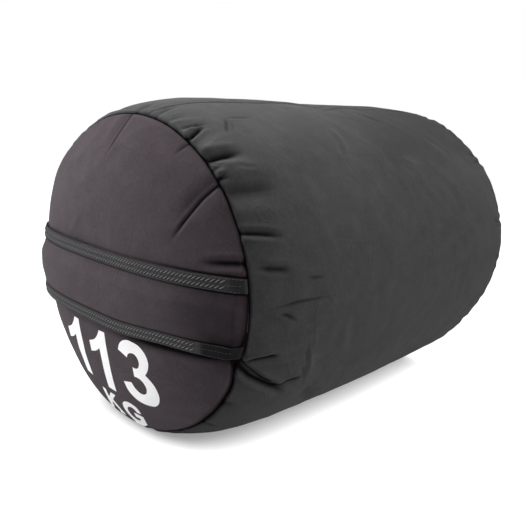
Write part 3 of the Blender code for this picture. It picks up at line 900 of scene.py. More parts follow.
def close_seams() -> None:
    """Find both seams' lines from the edges of the cloths that meet there."""
    angle = SeamLine.angles()
    tube = TubeFace((), SHARED_LUMPS)
    front = FrontFace((), SHARED_LUMPS, zip_side=False)
    rear = RearFace((), SHARED_LUMPS)
    around = angle * ARC_RADIUS
    first = tube.place(around, np.zeros(angle.shape))
    across = BAG.front_width / 2 * np.cos(angle)
    rise = BAG.zip_drop + BAG.front_height / 2 * np.sin(angle)
    last = tube.place(around, np.full(angle.shape, BAG.rim_to_rim))
    base = rear.place(ARC_RADIUS * np.cos(angle), ARC_RADIUS * np.sin(angle))
    SEAMS["front"] = SeamLine(first, front.place(across, rise))
    SEAMS["rear"] = SeamLine(last, base)


def grid_object(
    name: str, points: Array, flat: tuple[Array, Array], wrap: bool = False,
    inside_out: bool = False, wear: Array | None = None,
    close: tuple[bool, bool] = (False, False),
) -> bpy.types.Object:
    """Mesh object from a grid of points.

    Args:
        name: the piece's name.
        points: rows by columns by 3 places.
        flat: both coordinates on the cloth's plane, each rows by columns, with one more column
            than points where the grid wraps.
        wrap: whether the last column joins the first.
        inside_out: whether to turn the faces round.
        wear: how worn or raised each point is, and below 0 how much painted shade darkens it.
        close: whether to close the first and the last ring, each with rungs across it.

    Returns:
        The object, linked to the scene, with the flat places as its map.
    """
    rows, columns = points.shape[:2]
    spans = columns if wrap else columns - 1
    flat = np.stack(flat, -1)
    r, c = np.meshgrid(np.arange(rows - 1), np.arange(spans), indexing="ij")

    def cells(wide: int, after: Array) -> Array:
        """The four corners' numbers of each cell in rows of the given width."""
        low, high = r * wide, (r + 1) * wide
        return np.stack([low + c, low + after, high + after, high + c], -1).reshape(-1, 4)

    quads, corners = cells(columns, (c + 1) % columns), cells(flat.shape[1], c + 1)
    rung = np.arange(columns // 2 - 1)
    across = np.stack([rung, columns - 1 - rung, columns - 2 - rung, rung + 1], -1)
    for shut, row, cap in zip(close, (0, rows - 1), (across, across[:, ::-1])):
        if shut:
            quads = np.concatenate([quads, cap + row * columns])
            corners = np.concatenate([corners, cap + row * flat.shape[1]])
    if inside_out:
        quads, corners = quads[:, ::-1], corners[:, ::-1]
    corner_flat = flat.reshape(-1, 2)[corners.ravel()]
    return mesh_object(name, points.reshape(-1, 3), quads, corner_flat, wear)


def mesh_object(
    name: str, points: Array, quads: Array, corner_flat: Array | None = None,
    wear: Array | None = None,
) -> bpy.types.Object:
    """Mesh object from points and four-sided faces.

    Args:
        name: the piece's name.
        points: their places.
        quads: each face's four point numbers.
        corner_flat: place on the cloth's plane of every face's corners.
        wear: how worn or raised each point is, and below 0 how much painted shade darkens it.

    Returns:
        The object, linked to the scene.
    """
    mesh = bpy.data.meshes.new(name)
    mesh.vertices.add(len(points))
    mesh.vertices.foreach_set("co", np.ascontiguousarray(points, np.float32).ravel())
    mesh.loops.add(quads.size)
    mesh.loops.foreach_set("vertex_index", np.ascontiguousarray(quads, np.int32).ravel())
    mesh.polygons.add(len(quads))
    mesh.polygons.foreach_set("loop_start", np.arange(0, quads.size, 4, dtype=np.int32))
    if corner_flat is not None:
        layer = mesh.uv_layers.new(name=CLOTH_MAP)
        layer.uv.foreach_set("vector", np.ascontiguousarray(corner_flat, np.float32).ravel())
    values = np.zeros(len(points)) if wear is None else wear.ravel()
    attribute = mesh.attributes.new(WEAR_AND_SHADE_MAP, "FLOAT", "POINT")
    attribute.data.foreach_set("value", np.ascontiguousarray(values, np.float32))
    mesh.update(calc_edges=True)
    mesh.validate()
    mesh.shade_smooth()
    obj = bpy.data.objects.new(name, mesh)
    bpy.context.scene.collection.objects.link(obj)
    return obj


def thicken(obj: bpy.types.Object, thickness: float) -> None:
    """Give a cloth its thickness on its inner side.

    Args:
        obj: the cloth.
        thickness: in metres.
    """
    wall = obj.modifiers.new("Cloth", "SOLIDIFY")
    wall.thickness = thickness
    wall.offset = -1.0
    wall.use_rim = True
    wall.use_quality_normals = False


def threads(name: str, paths: Array, ways: Array, radius: float) -> bpy.types.Object:
    """Threads: a four-sided profile of the radius carried along every path, thin at both ends.

    Args:
        name: the piece's name.
        paths: threads by points by 3 places.
        ways: outward direction at each of them.
        radius: the thread's radius.

    Returns:
        One object that holds every thread.
    """
    count, length = paths.shape[:2]
    sides = THREAD_SIDES
    along = unit(np.gradient(paths, axis=1))
    across = unit(np.cross(along, ways))
    up = np.cross(across, along)
    angle = 2 * math.pi * np.arange(sides) / sides
    fat = radius * np.sqrt(np.clip(1 - np.linspace(-1, 1, length) ** 4, 0.02, 1))
    ring = across[:, :, None] * np.cos(angle)[:, None] + up[:, :, None] * np.sin(angle)[:, None]
    points = paths[:, :, None] + ring * fat[None, :, None, None]
    t, r, c = np.meshgrid(np.arange(count), np.arange(length - 1), np.arange(sides), indexing="ij")
    n = (c + 1) % sides
    base = (t * length + r) * sides
    quads = np.stack([base + c, base + n, base + sides + n, base + sides + c], -1).reshape(-1, 4)
    first = (np.arange(count) * length * sides)[:, None]
    last = first + (length - 1) * sides
    quads = np.concatenate([quads, first + np.arange(sides)[::-1], last + np.arange(sides)])
    share = np.broadcast_to(np.linspace(0, 1, length)[None, :, None], (count, length, sides))
    flat = np.stack([share, np.broadcast_to(angle / TWIST_TURN, share.shape)], -1).reshape(-1, 2)
    return mesh_object(name, points.reshape(-1, 3), quads, flat[quads.ravel()])


def stitches(
    name: str, face: ClothFace, starts: list[Array], ends: list[Array], lift: float, radius: float,
) -> bpy.types.Object:
    """Rows of stitches on a cloth. Each rises out of one needle hole and dips into the next.

    Its height over the cloth is the radius times 2.2 sin(pi share)^0.6 - 1.1.

    Args:
        name: the piece's name.
        face: the cloth that they are sewn on.
        starts: for each row, stitches by 2 places of the first needle holes.
        ends: the same for the second ones.
        lift: height of the cloth's outer side above the face.
        radius: the thread's radius.

    Returns:
        The object.
    """
    start, end = np.concatenate(starts), np.concatenate(ends)
    share = np.linspace(0, 1, STITCH_STEPS)[None, :]
    u = start[:, :1] + (end - start)[:, :1] * share
    v = start[:, 1:] + (end - start)[:, 1:] * share
    rise = lift + radius * (2.2 * np.sin(math.pi * share) ** 0.6 - 1.1)
    ways = unit(face.place(u, v, rise + 0.001) - face.place(u, v, rise - 0.001))
    return threads(name, face.place(u, v, rise), ways, radius)


def rgb(red: float, green: float, blue: float) -> tuple[float, float, float, float]:
    """Colour with full alpha."""
    return (red, green, blue, 1.0)


class Finish:
    """Nodes of one material, added and joined in a few words."""

    def __init__(self, name: str) -> None:
        """Start a material with its shader.

        Args:
            name: the material's name.
        """
        self.material = bpy.data.materials.new(name)
        self.material.use_nodes = True
        self.nodes = self.material.node_tree.nodes
        self.links = self.material.node_tree.links
        self.shader = self.nodes["Principled BSDF"]

    def add(self, kind: str, inputs: dict | None = None, **settings: object) -> bpy.types.Node:
        """Add a node, set its settings, and set or join its inputs.

        Args:
            kind: the node's type name without its prefix.
            inputs: for each input's name or number a value, or the output to join it to.
            settings: the node's own settings.

        Returns:
            The node.
        """
        node = self.nodes.new("ShaderNode" + kind)
        for key, value in settings.items():
            setattr(node, key, value)
        for key, value in (inputs or {}).items():
            self.set(node, key, value)
        return node

    def set(self, node: bpy.types.Node, key: str | int, value: object) -> None:
        """Set one input, or join it to an output.

        Args:
            node: the node.
            key: the input's name or number.
            value: its value, or the output to join it to.
        """
        if isinstance(value, bpy.types.NodeSocket):
            self.links.new(value, node.inputs[key])
        else:
            node.inputs[key].default_value = value

    def math(self, operation: str, *values: object) -> Socket:
        """Output of a maths node."""
        return self.add("Math", dict(enumerate(values)), operation=operation).outputs[0]

    def space(self) -> Socket:
        """Place in the piece's own space."""
        return self.add("TexCoord").outputs["Object"]

    def flat(self) -> tuple[Socket, Socket, Socket]:
        """Place on the cloth's plane, and its two coordinates."""
        place = self.add("UVMap", uv_map=CLOTH_MAP).outputs[0]
        return (place, *self.add("SeparateXYZ", {0: place}).outputs[:2])

    def noise(self, place: Socket, scale: float, detail: float = 3.0) -> Socket:
        """Output of a noise texture at a scale, in turns per metre."""
        inputs = {"Vector": place, "Scale": scale, "Detail": detail, "Roughness": 0.55}
        return self.add("TexNoise", inputs).outputs["Fac"]

    def range(
        self, value: Socket, low: float, high: float, out_low: float = 0, out_high: float = 1,
    ) -> Socket:
        """Value moved from one range to another and held there."""
        inputs = {0: value, 1: low, 2: high, 3: out_low, 4: out_high}
        return self.add("MapRange", inputs).outputs[0]

    def mix(self, *parts: tuple[Socket, float]) -> Socket:
        """Sum of outputs.

        Args:
            parts: each output and its weight.

        Returns:
            Their sum.
        """
        total = None
        for value, weight in parts:
            part = value if weight == 1 else self.math("MULTIPLY", value, weight)
            total = part if total is None else self.math("ADD", total, part)
        return total

    def blend(self, share: object, first: object, second: object) -> Socket:
        """Colour between two colours.

        Args:
            share: how far from the first to the second.
            first: colour or output.
            second: colour or output.

        Returns:
            The blended colour.
        """
        node = self.add("Mix", {0: share, 6: first, 7: second}, data_type="RGBA")
        return node.outputs[2]

    def bump(
        self, height: Socket, distance: float, strength: float, under: Socket | None = None,
    ) -> Socket:
        """Normal raised by a height.

        Args:
            height: the height.
            distance: metres for a height of 1.
            strength: share of it that is seen.
            under: the normal of another bump that this one lies on.

        Returns:
            The normal.
        """
        inputs = {"Height": height, "Distance": distance, "Strength": strength}
        if under is not None:
            inputs["Normal"] = under
        return self.add("Bump", inputs).outputs[0]

    def done(self, inputs: dict[str, object]) -> bpy.types.Material:
        """Set or join the shader's inputs.

        Args:
            inputs: for each input's name a value or an output.

        Returns:
            The finished material.
        """
        for key, value in inputs.items():
            self.set(self.shader, key, value)
        return self.material


@dataclass(frozen=True)
class Surface:
    """What every finish has: a name and a colour."""

    name: str
    colour: tuple[float, float, float]

    def tone(self, factor: float, paler: float = 0.0) -> tuple[float, float, float, float]:
        """The colour times a factor and paler by a share of white."""
        return rgb(*(min(1.0, part * factor + paler) for part in self.colour))


@dataclass(frozen=True)
class WovenCloth(Surface):
    """Woven cloth: threads over and under, slubs, mottled dye, dust on raised places, and painted
    shade where its point map is below 0.
    """

    thread: float = 0.00055
    relief: float = 0.00010
    crinkle: float = 0.00035
    roughness: float = 0.80
    gloss: float = 0.20
    sheen: float = 0.06
    mottle: float = 0.22
    dust: float = 0.12
    # How far painted shade takes colour, gloss and sheen down where the point map is -1.
    shade_darkening: float = 0.96

    def weave(self, f: Finish) -> Socket:
        """Height of the threads.

        The product of two sines of the flat coordinates, which a noise of slubs bends.

        Args:
            f: the finish that the nodes go into.

        Returns:
            The height.
        """
        flat, across, along = f.flat()
        slub = f.noise(flat, 190, 2.0)
        waves = []
        for part in (across, along):
            phase = f.math("MULTIPLY", part, math.pi / self.thread)
            phase = f.math("ADD", phase, f.math("MULTIPLY", slub, 1.6))
            waves.append(f.math("SINE", phase))
        return f.math("MULTIPLY", *waves)

    def creases(self, f: Finish, space: Socket) -> Socket:
        """Height of fine creases: thin lines where a bent noise is 0.5, here and there.

        Args:
            f: the finish that the nodes go into.
            space: place in space.

        Returns:
            The height.
        """
        lines = []
        for scale, seed in ((8.0, 0.0), (17.0, 3.7)):
            inputs = {"Vector": space, "Scale": scale, "Detail": 1.0, "Distortion": 1.4, "W": seed}
            bent = f.add("TexNoise", inputs, noise_dimensions="4D").outputs["Fac"]
            off = f.math("ABSOLUTE", f.math("SUBTRACT", bent, 0.5))
            some = f.range(f.noise(space, scale * 0.9, 1.0), 0.50, 0.60)
            lines.append(f.math("MULTIPLY", f.range(off, 0, 0.022, 1, 0), some))
        return f.mix((lines[0], 1), (lines[1], 0.6))

    def material(self) -> bpy.types.Material:
        """The cloth's material.

        Threads follow the cloth's own map, dye and dust run through space. Painted shade from the
        point map darkens the colour, gloss and sheen.

        Returns:
            The material.
        """
        f = Finish(self.name)
        space = f.space()
        sizes = ((12, 4.0), (60, 4.0), (340, 3.0))
        cloud, patch, speck = (f.noise(space, scale, detail) for scale, detail in sizes)
        height = f.mix((self.weave(f), 1), (patch, 0.9), (speck, 0.8))
        bump = f.bump(height, self.relief, 0.6)
        normal = f.bump(self.creases(f, space), self.crinkle, 0.8, bump)
        dye = f.range(f.mix((cloud, 0.34), (patch, 0.28), (speck, 0.38)), 0.38, 0.62)
        colour = f.blend(dye, self.tone(1 - self.mottle), self.tone(1 + self.mottle))
        wear = f.add("Attribute", attribute_name=WEAR_AND_SHADE_MAP).outputs["Fac"]
        dusty = f.range(f.noise(space, 38, 5.0), 0.45, 0.75, 0, self.dust)
        raised = f.mix((dusty, 1), (f.range(wear, 0, 1), self.dust))
        colour = f.blend(raised, colour, self.tone(1.9, 0.02))
        # Painted shade: below 0 the point map darkens the colour towards a near black and dims
        # gloss and sheen.
        unshaded = f.range(wear, -1, -0.05, 1 - self.shade_darkening, 1)
        return f.done({
            "Base Color": f.blend(unshaded, self.tone(0.06), colour),
            "Roughness": f.range(cloud, 0.3, 0.7, self.roughness - 0.06, self.roughness + 0.06),
            "Normal": normal,
            "Specular IOR Level": f.math("MULTIPLY", unshaded, self.gloss),
            "Sheen Weight": f.math("MULTIPLY", unshaded, self.sheen),
            "Sheen Roughness": 0.45,
        })


@dataclass(frozen=True)
class Thread(Surface):
    """Twisted sewing thread."""

    def material(self) -> bpy.types.Material:
        """The thread's material, with its twist as slanting bands along each stitch.

        Returns:
            The material.
        """
        f = Finish(self.name)
        _, along, around = f.flat()
        twist = f.math("SINE", f.mix((along, 34.0), (around, TWIST_TURN)))
        return f.done({
            "Base Color": f.blend(f.range(twist, -1, 1), self.tone(0.75), self.tone(1)),
            "Normal": f.bump(twist, 0.00008, 0.8),
            "Roughness": 0.6,
            "Sheen Weight": 0.3,
        })


@dataclass(frozen=True)
class Metal(Surface):
    """Cast metal with a worn dark coat."""

    roughness: float

    def material(self) -> bpy.types.Material:
        """The metal's material: fine cast grain, smears in its gloss and pale rubbed spots.

        Returns:
            The material.
        """
        f = Finish(self.name)
        space = f.space()
        smear = f.noise(space, 240, 4.0)
        rubbed = f.range(f.noise(space, 260, 5.0), 0.60, 0.78, 0, 0.4)
        return f.done({
            "Base Color": f.blend(rubbed, self.tone(1), rgb(0.32, 0.32, 0.33)),
            "Roughness": f.range(smear, 0.3, 0.7, self.roughness - 0.08, self.roughness + 0.12),
            "Normal": f.bump(f.noise(space, 2600, 2.0), 0.00003, 0.6),
            "Metallic": 0.85,
        })


@dataclass(frozen=True)
class Resin(Surface):
    """Moulded resin of the zip's teeth."""

    roughness: float

    def material(self) -> bpy.types.Material:
        """The resin's material: a fine grain, dust in its colour and uneven gloss.

        Returns:
            The material.
        """
        f = Finish(self.name)
        space = f.space()
        dust = f.range(f.noise(space, 900, 3.0), 0.5, 0.8, 0, 0.35)
        return f.done({
            "Base Color": f.blend(dust, self.tone(1), self.tone(3)),
            "Roughness": f.range(dust, 0, 0.35, self.roughness, self.roughness + 0.15),
            "Normal": f.bump(f.noise(space, 1800, 2.0), 0.00003, 0.5),
        })


@dataclass(frozen=True)
class Grains(Surface):
    """Dry sand."""

    size: float = 0.0009

    def material(self) -> bpy.types.Material:
        """The sand's material: cells of the grain's size, each with its own tint and height.

        Returns:
            The material.
        """
        f = Finish(self.name)
        space = f.space()
        cells = f.add("TexVoronoi", {"Vector": space, "Scale": 1 / self.size})
        tint = f.add("SeparateColor", {0: cells.outputs["Color"]}).outputs[0]
        mixed = f.mix((tint, 0.7), (f.noise(space, 14, 3.0), 0.3))
        return f.done({
            "Base Color": f.blend(mixed, self.tone(0.62), self.tone(1.25)),
            "Roughness": f.range(tint, 0, 1, 0.85, 0.98),
            "Normal": f.bump(cells.outputs["Distance"], 0.0004, 0.8),
        })


@dataclass(frozen=True)
class Ink(Surface):
    """Screen-printed ink that follows the weave under it."""

    def material(self) -> bpy.types.Material:
        """The ink's material: a film broken by pinholes and hairline cracks.

        Returns:
            The material.
        """
        f = Finish(self.name)
        space = f.space()
        fine = f.noise(space, 900, 2.0)
        crack = f.add("TexVoronoi", {"Vector": space, "Scale": 120.0}, feature="DISTANCE_TO_EDGE")
        line = f.range(crack.outputs["Distance"], 0.0, 0.012, 0.35, 0.0)
        cracked = f.math("MULTIPLY", line, f.range(f.noise(space, 22, 2.0), 0.5, 0.7))
        loss = f.math("ADD", cracked, f.range(f.noise(space, 70, 4.0), 0.55, 0.8, 0, 0.08))
        return f.done({
            "Base Color": f.blend(loss, self.tone(1), rgb(0.30, 0.29, 0.30)),
            "Roughness": f.range(fine, 0.3, 0.7, 0.50, 0.66),
            "Normal": f.bump(fine, 0.00006, 0.6),
        })


def heading(azimuth: float, elevation: float) -> Vector:
    """Direction of length 1 from the bag.

    Args:
        azimuth: degrees from the filling end's side round to the right.
        elevation: degrees up.

    Returns:
        (sin a cos e, -cos a cos e, sin e).
    """
    a, e = math.radians(azimuth), math.radians(elevation)
    return Vector((math.sin(a) * math.cos(e), -math.cos(a) * math.cos(e), math.sin(e)))


@dataclass(frozen=True)
class SoftBox:
    """One lamp, at an azimuth and elevation in degrees as heading has them."""

    name: str
    azimuth: float
    elevation: float
    power: float
    size: float = 1.3
    distance: float = 2.4


@dataclass(frozen=True)
class Studio:
    """Pale floor, soft light and the camera at the photograph's angle."""

    eye: tuple[float, float, float] = (0.597, -0.665, 0.375)
    aim: tuple[float, float, float] = (0, -0.05, 0.18)
    azimuth: float = 43.29
    elevation: float = 12.83
    roll: float = 2.862
    lens: float = 44.19
    shift_up: float = -0.0055
    floor_half: float = 6.0
    surroundings: float = 0.05
    # Painted contact shadow: the floor's glow where the bag hides it most, and the occlusion reach
    # and range over which it fades.
    contact_shadow: float = 0.26
    contact_shadow_reach: float = 0.040
    contact_shadow_range: tuple[float, float] = (0.14, 0.52)
    fade_out: tuple[float, float] = (0.7, 2.0)
    open_floor: float = 0.88
    boxes: tuple[SoftBox, ...] = (
        SoftBox("front_left_box", -46, 11, 56),
        SoftBox("rear_right_box", 119, 22, 44),
        SoftBox("rear_left_box", -135, 32, 6),
        SoftBox("overhead_box", -44, 77, 8.6, 0.6, 0.85),
        SoftBox("front_top_box", 0, 62, 2.0, 0.8, 1.10),
    )

    def build(self) -> None:
        """Make the floor, the lights, the world and the camera."""
        bpy.context.scene.view_settings.view_transform = "Standard"
        self.make_floor()
        self.make_world()
        self.make_lamps()
        self.make_camera()

    def make_floor(self) -> None:
        """Wide level floor that looks white to the camera, with a painted contact shadow where its
        glow dims near the bag; its lit part keeps the bag's real shadow.
        """
        h = self.floor_half
        points = np.array([(-h, -h, 0), (h, -h, 0), (h, h, 0), (-h, h, 0)], float)
        floor = mesh_object("studio_floor", points, np.array([[0, 1, 2, 3]]))
        f = Finish("studio_floor")
        away = f.add("VectorMath", {0: f.space()}, operation="LENGTH").outputs["Value"]
        nearby = f.add("AmbientOcclusion", {"Distance": self.contact_shadow_reach}, samples=16)
        nearby = nearby.outputs["AO"]
        shade = f.range(nearby, *self.contact_shadow_range, self.contact_shadow, self.open_floor)
        white = f.range(away, *self.fade_out, 0.0, 1.0 - self.open_floor)
        seen = f.add("LightPath").outputs["Is Camera Ray"]
        floor.data.materials.append(f.done({
            "Base Color": rgb(0.66, 0.66, 0.66),
            "Roughness": 0.9,
            "Emission Color": rgb(1, 1, 1),
            "Emission Strength": f.math("MULTIPLY", seen, f.math("ADD", shade, white)),
        }))

    def make_world(self) -> None:
        """Faint even surroundings, white where the camera looks past the bag."""
        world = bpy.data.worlds.new("studio")
        bpy.context.scene.world = world
        world.use_nodes = True
        nodes, links = world.node_tree.nodes, world.node_tree.links
        back = nodes["Background"]
        back.inputs["Color"].default_value = rgb(1, 1, 1)
        path = nodes.new("ShaderNodeLightPath")
        strength = nodes.new("ShaderNodeMapRange")
        links.new(path.outputs["Is Camera Ray"], strength.inputs[0])
        strength.inputs[3].default_value = self.surroundings
        strength.inputs[4].default_value = 1.0
        links.new(strength.outputs[0], back.inputs["Strength"])

    def make_lamps(self) -> None:
        """Square soft boxes round the bag, each aimed at its middle."""
        for box in self.boxes:
            data = bpy.data.lights.new(box.name, "AREA")
            data.shape, data.size, data.energy = "SQUARE", box.size, box.power
            lamp = bpy.data.objects.new(box.name, data)
            bpy.context.scene.collection.objects.link(lamp)
            way = heading(box.azimuth, box.elevation)
            lamp.location = Vector(self.aim) + way * box.distance
            lamp.rotation_mode = "QUATERNION"
            lamp.rotation_quaternion = (-way).to_track_quat("-Z", "Y")

    def make_camera(self) -> None:
        """Camera at the eye, turned by azimuth, elevation and roll."""
        back, right = heading(self.azimuth, self.elevation), heading(self.azimuth + 90, 0)
        up, roll = back.cross(right), math.radians(self.roll)
        turned_right = right * math.cos(roll) + up * math.sin(roll)
        turned_up = up * math.cos(roll) - right * math.sin(roll)
        data = bpy.data.cameras.new("camera")
        data.lens, data.sensor_width, data.shift_y = self.lens, 36.0, self.shift_up
        data.clip_start, data.clip_end = 0.01, 50
        camera = bpy.data.objects.new("camera", data)
        bpy.context.scene.collection.objects.link(camera)
        turn = Matrix((turned_right, turned_up, back)).transposed().to_4x4()
        camera.matrix_world = Matrix.Translation(self.eye) @ turn
        bpy.context.scene.camera = camera


class Look(Enum):
    """Names of the kinds of finish that new pieces are passed with."""

    BAG = "bag_cloth"
    END = "end_cloth"
    WEBBING = "webbing"
    FASTENER = "hook_and_loop"
    TAPE = "zip_tape"
    LINER = "liner_cloth"
    SAND = "dry_sand"


TUBE_CLOTH = WovenCloth("tube_cloth", (0.034, 0.034, 0.0343))
END_CLOTH = WovenCloth("end_cloth", (0.0420, 0.0303, 0.0371), crinkle=0.00018)
STRIP_CLOTH = WovenCloth("strip_cloth", (0.044, 0.0425, 0.045), thread=0.0009, relief=0.00025)
TAPE_CLOTH = WovenCloth("tape_cloth", (0.022, 0.022, 0.023), thread=0.0007, relief=0.00015)
LINER_CLOTH = WovenCloth("liner_cloth", (0.30, 0.30, 0.29), thread=0.0012, relief=0.00012)
FUZZY_CLOTH = WovenCloth("fuzzy_cloth", (0.020, 0.020, 0.020), thread=0.0013, relief=0.0006)
BLACK_THREAD = Thread("black_thread", (0.009, 0.009, 0.0095))
GREY_THREAD = Thread("grey_thread", (0.130, 0.130, 0.133))
CAST_METAL = Metal("cast_metal", (0.060, 0.060, 0.064), 0.38)
TOOTH_RESIN = Resin("tooth_resin", (0.016, 0.016, 0.016), 0.42)
DRY_SAND = Grains("dry_sand", (0.50, 0.40, 0.27))
WHITE_INK = Ink("white_ink", (0.92, 0.92, 0.92))


def dress(
    obj: bpy.types.Object, material: bpy.types.Material, look: Look, *nodes: str,
    thickness: float = 0.0,
) -> None:
    """Finish a piece: its thickness, its material, its body and its solids.

    Args:
        obj: the piece.
        material: its material.
        look: not used.
        nodes: the solids that it stands for.
        thickness: the cloth's thickness, or 0 for a piece that is a solid already.
    """
    if thickness:
        thicken(obj, thickness)
    obj.data.materials.append(material)
    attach(obj, "bag")
    if nodes:
        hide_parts(*nodes)
    LOG.info("%s: %d points", obj.name, len(obj.data.vertices))


def needle_holes(u: Array, v: Array | float) -> Array:
    """Pairs of coordinates of one row of needle holes."""
    return np.stack(np.broadcast_arrays(u, v), -1)


@dataclass
class CoverTube:
    """Side cloth of the cover, from the front seam to the rear seam."""

    cloth: float = 0.0012
    shoulder_shade: float = 0.22
    face: TubeFace = field(default_factory=lambda: TubeFace(tube_folds(), SHARED_LUMPS))

    def build(self) -> None:
        """Make the tube. Its columns stand closer together where the larger folds run."""
        far, whole = BAG.rim_to_rim, 2 * math.pi * ARC_RADIUS
        rows = graded((0.0048, 8), (0.100, 50), (far - 0.056, 74), (far - 0.007, 24), (far, 9))
        around = graded((0.194, 74), (0.574, 290), (whole, 256)) - whole / 4
        flat = np.meshgrid(around, rows)
        u, v = (part[:, :-1] for part in flat)
        # Painted shade over the upper right of the side cloth's rear half.
        side = smooth((u - 0.10) / 0.09) * smooth((0.36 - u) / 0.10) * smooth((v - 0.20) / 0.09)
        wear = np.clip(self.face.relief(u, v) - self.shoulder_shade * side, -1, 1)
        points = self.face.place(u, v)
        tube = grid_object("tube_cloth", points, flat, wrap=True, inside_out=True, wear=wear)
        dress(tube, TUBE_CLOTH.material(), Look.BAG, "side_panel", thickness=self.cloth)


@dataclass
class SideSeam:
    """Lap where the side cloth's two long edges are sewn to each other, with its stitches."""

    middle: float = 0.2765
    drift: float = 0.014
    fade: float = 0.030
    width: float = 0.011
    height: float = 0.0006
    inset: float = 0.0025
    pitch: float = 0.0032
    row_share: float = 0.32
    first_hole: float = 0.006
    thread: float = 0.00022
    face: TubeFace = field(default_factory=lambda: TubeFace(tube_folds(), SHARED_LUMPS))

    def line(self, v: Array) -> Array:
        """Place round the bag of the lap's middle: it drifts by an exponential near the front."""
        return self.middle + self.drift * np.exp(-v / self.fade)

    def build(self) -> None:
        """Make the lap, then its stitches."""
        run = np.linspace(self.inset, BAG.rim_to_rim - self.inset, 260)
        parts = ((-1, -0.8), (-0.5, 0.5), (0.8, 1))
        offset = np.concatenate([np.linspace(low, high, 4) for low, high in parts])
        u = self.line(run)[:, None] + offset * self.width / 2
        v = np.broadcast_to(run[:, None], u.shape)
        lift = self.height * (0.25 + 0.75 * smooth((1 - np.abs(offset)) / 0.2))
        lap = grid_object("side_seam_cloth", self.face.place(u, v, lift), (u, v), inside_out=True)
        thick = self.height * 0.7
        dress(lap, TUBE_CLOTH.material(), Look.BAG, "side_seam_lap", thickness=thick)
        self.sew()

    def sew(self) -> None:
        """Lay a row of stitches near each edge of the lap."""
        holes = np.arange(self.first_hole, BAG.rim_to_rim - self.first_hole, self.pitch)
        starts, ends = [], []
        for side in (-1, 1):
            for store, shift in ((starts, 0.1), (ends, 0.9)):
                v = holes + shift * self.pitch
                store.append(needle_holes(self.line(v) + side * self.row_share * self.width, v))
        rows = stitches("side_seam_stitches", self.face, starts, ends, self.height, self.thread)
        dress(rows, BLACK_THREAD.material(), Look.BAG)


@dataclass
class FillingEnd:
    """Upper and lower cloth of the filling end."""

    columns: int = 400
    rows: int = 108
    mouth_half: float = 0.010
    cloth: float = 0.0012
    # Where the painted shadow under the band's free edge and over its upper hem lies, and its
    # widths.
    shade_line: float = -0.0468
    shade_widths: tuple[float, float] = (0.0072, 0.0030)
    top_line: float = 0.0434
    top_width: float = 0.0014

    def build(self) -> None:
        """Make both panels."""
        for name, side, folds in (("upper_end", 1, UPPER_FOLDS), ("lower_end", -1, ())):
            face = FrontFace(folds, SHARED_LUMPS, zip_side=True)
            low = side * self.mouth_half
            up = (low - BAG.zip_drop) / (BAG.front_height / 2)
            corner = math.asin(side * up)
            angle = np.linspace(corner, math.pi - corner, self.columns + 1)
            top = BAG.zip_drop + side * BAG.front_height / 2 * np.sin(angle)
            share = 1 - graded((0.03, 10), (0.12, 14), (1.0, self.rows - 24))[::-1]
            v = low + (top - low) * share[:, None]
            u = np.broadcast_to(BAG.front_width / 2 * np.cos(angle), v.shape)
            wear = np.clip(face.relief(u, v) - self.band_shade(u, v), -1, 1)
            panel = grid_object(
                name + "_cloth", face.place(u, v), (u, v), inside_out=side > 0, wear=wear
            )
            material = END_CLOTH.material()
            dress(panel, material, Look.END, name + "_panel", thickness=self.cloth)

    def band_shade(self, u: Array, v: Array) -> Array:
        """Painted shadow at the band's edges.

        A bell under the free edge, which follows it where it is drawn up and is deeper to the
        right, plus a narrow bell over the upper hem.

        Args:
            u: first coordinates.
            v: second coordinates.

        Returns:
            How much darker each place is.
        """
        below = v - self.shade_line - band_rise(u)
        shade = np.exp(-((below / np.where(below < 0, *self.shade_widths)) ** 2))
        shade *= 0.30 * smooth((u + 0.17) / 0.12) + 0.95 * smooth((u + 0.02) / 0.13)
        over = np.exp(-(((v - self.top_line) / self.top_width) ** 2))
        return shade + over * (0.35 + 0.65 * smooth((u - 0.06) / 0.08))


@dataclass
class BaseEnd:
    """Round cloth that closes the rear end."""

    cells: int = 180
    cloth: float = 0.0012

    def build(self) -> None:
        """Make the disc: squares round the middle of a grid become rings, so it has no pole."""
        half = graded((0.86, self.cells // 2 - 24), (0.965, 10), (1.0, 14))
        line = np.concatenate([-half[:0:-1], half])
        a, b = np.meshgrid(line, line)
        wide = np.abs(a) >= np.abs(b)
        lead = np.where(wide, a, b)
        turn = math.pi / 4 * np.where(wide, b, a) / np.where(lead == 0, 1e-9, lead)
        u = lead * np.where(wide, np.cos(turn), np.sin(turn)) * ARC_RADIUS
        v = lead * np.where(wide, np.sin(turn), np.cos(turn)) * ARC_RADIUS
        face = RearFace(radial_puckers(41, 26), SHARED_LUMPS)
        points, wear = face.place(u, v), face.relief(u, v)
        disc = grid_object("base_cloth", points, (u, v), inside_out=True, wear=wear)
        dress(disc, TUBE_CLOTH.material(), Look.BAG, "base_panel", thickness=self.cloth)


def end_strip(rises: Array, count: int) -> tuple[Array, Array]:
    """Grid across the filling end between both rims, closer near the rims.

    Args:
        rises: each row's rise above the zip's line.
        count: places in a row.

    Returns:
        Both coordinates.
    """
    share = np.linspace(-1, 1, count)
    share = 0.45 * np.sin(share * math.pi / 2) + 0.55 * share
    u = share * BAG.front_reach(rises)[:, None]
    return u, np.broadcast_to(rises[:, None], u.shape)


def band_rise(u: Array) -> Array:
    """How far the band's free edge is drawn up: eased in from the middle, let down by the seam."""
    eased = smooth((u - 0.02) / 0.10) * (1 - 0.35 * smooth((u - 0.165) / 0.020))
    return BAND_DRAWN_UP * eased


def drawn_up(u: Array, v: Array) -> Array:
    """The rise v after the band's free edge is drawn up, eased in from the band's middle."""
    return v + band_rise(u) * smooth(-v / BAND_DRAWN_RUN)


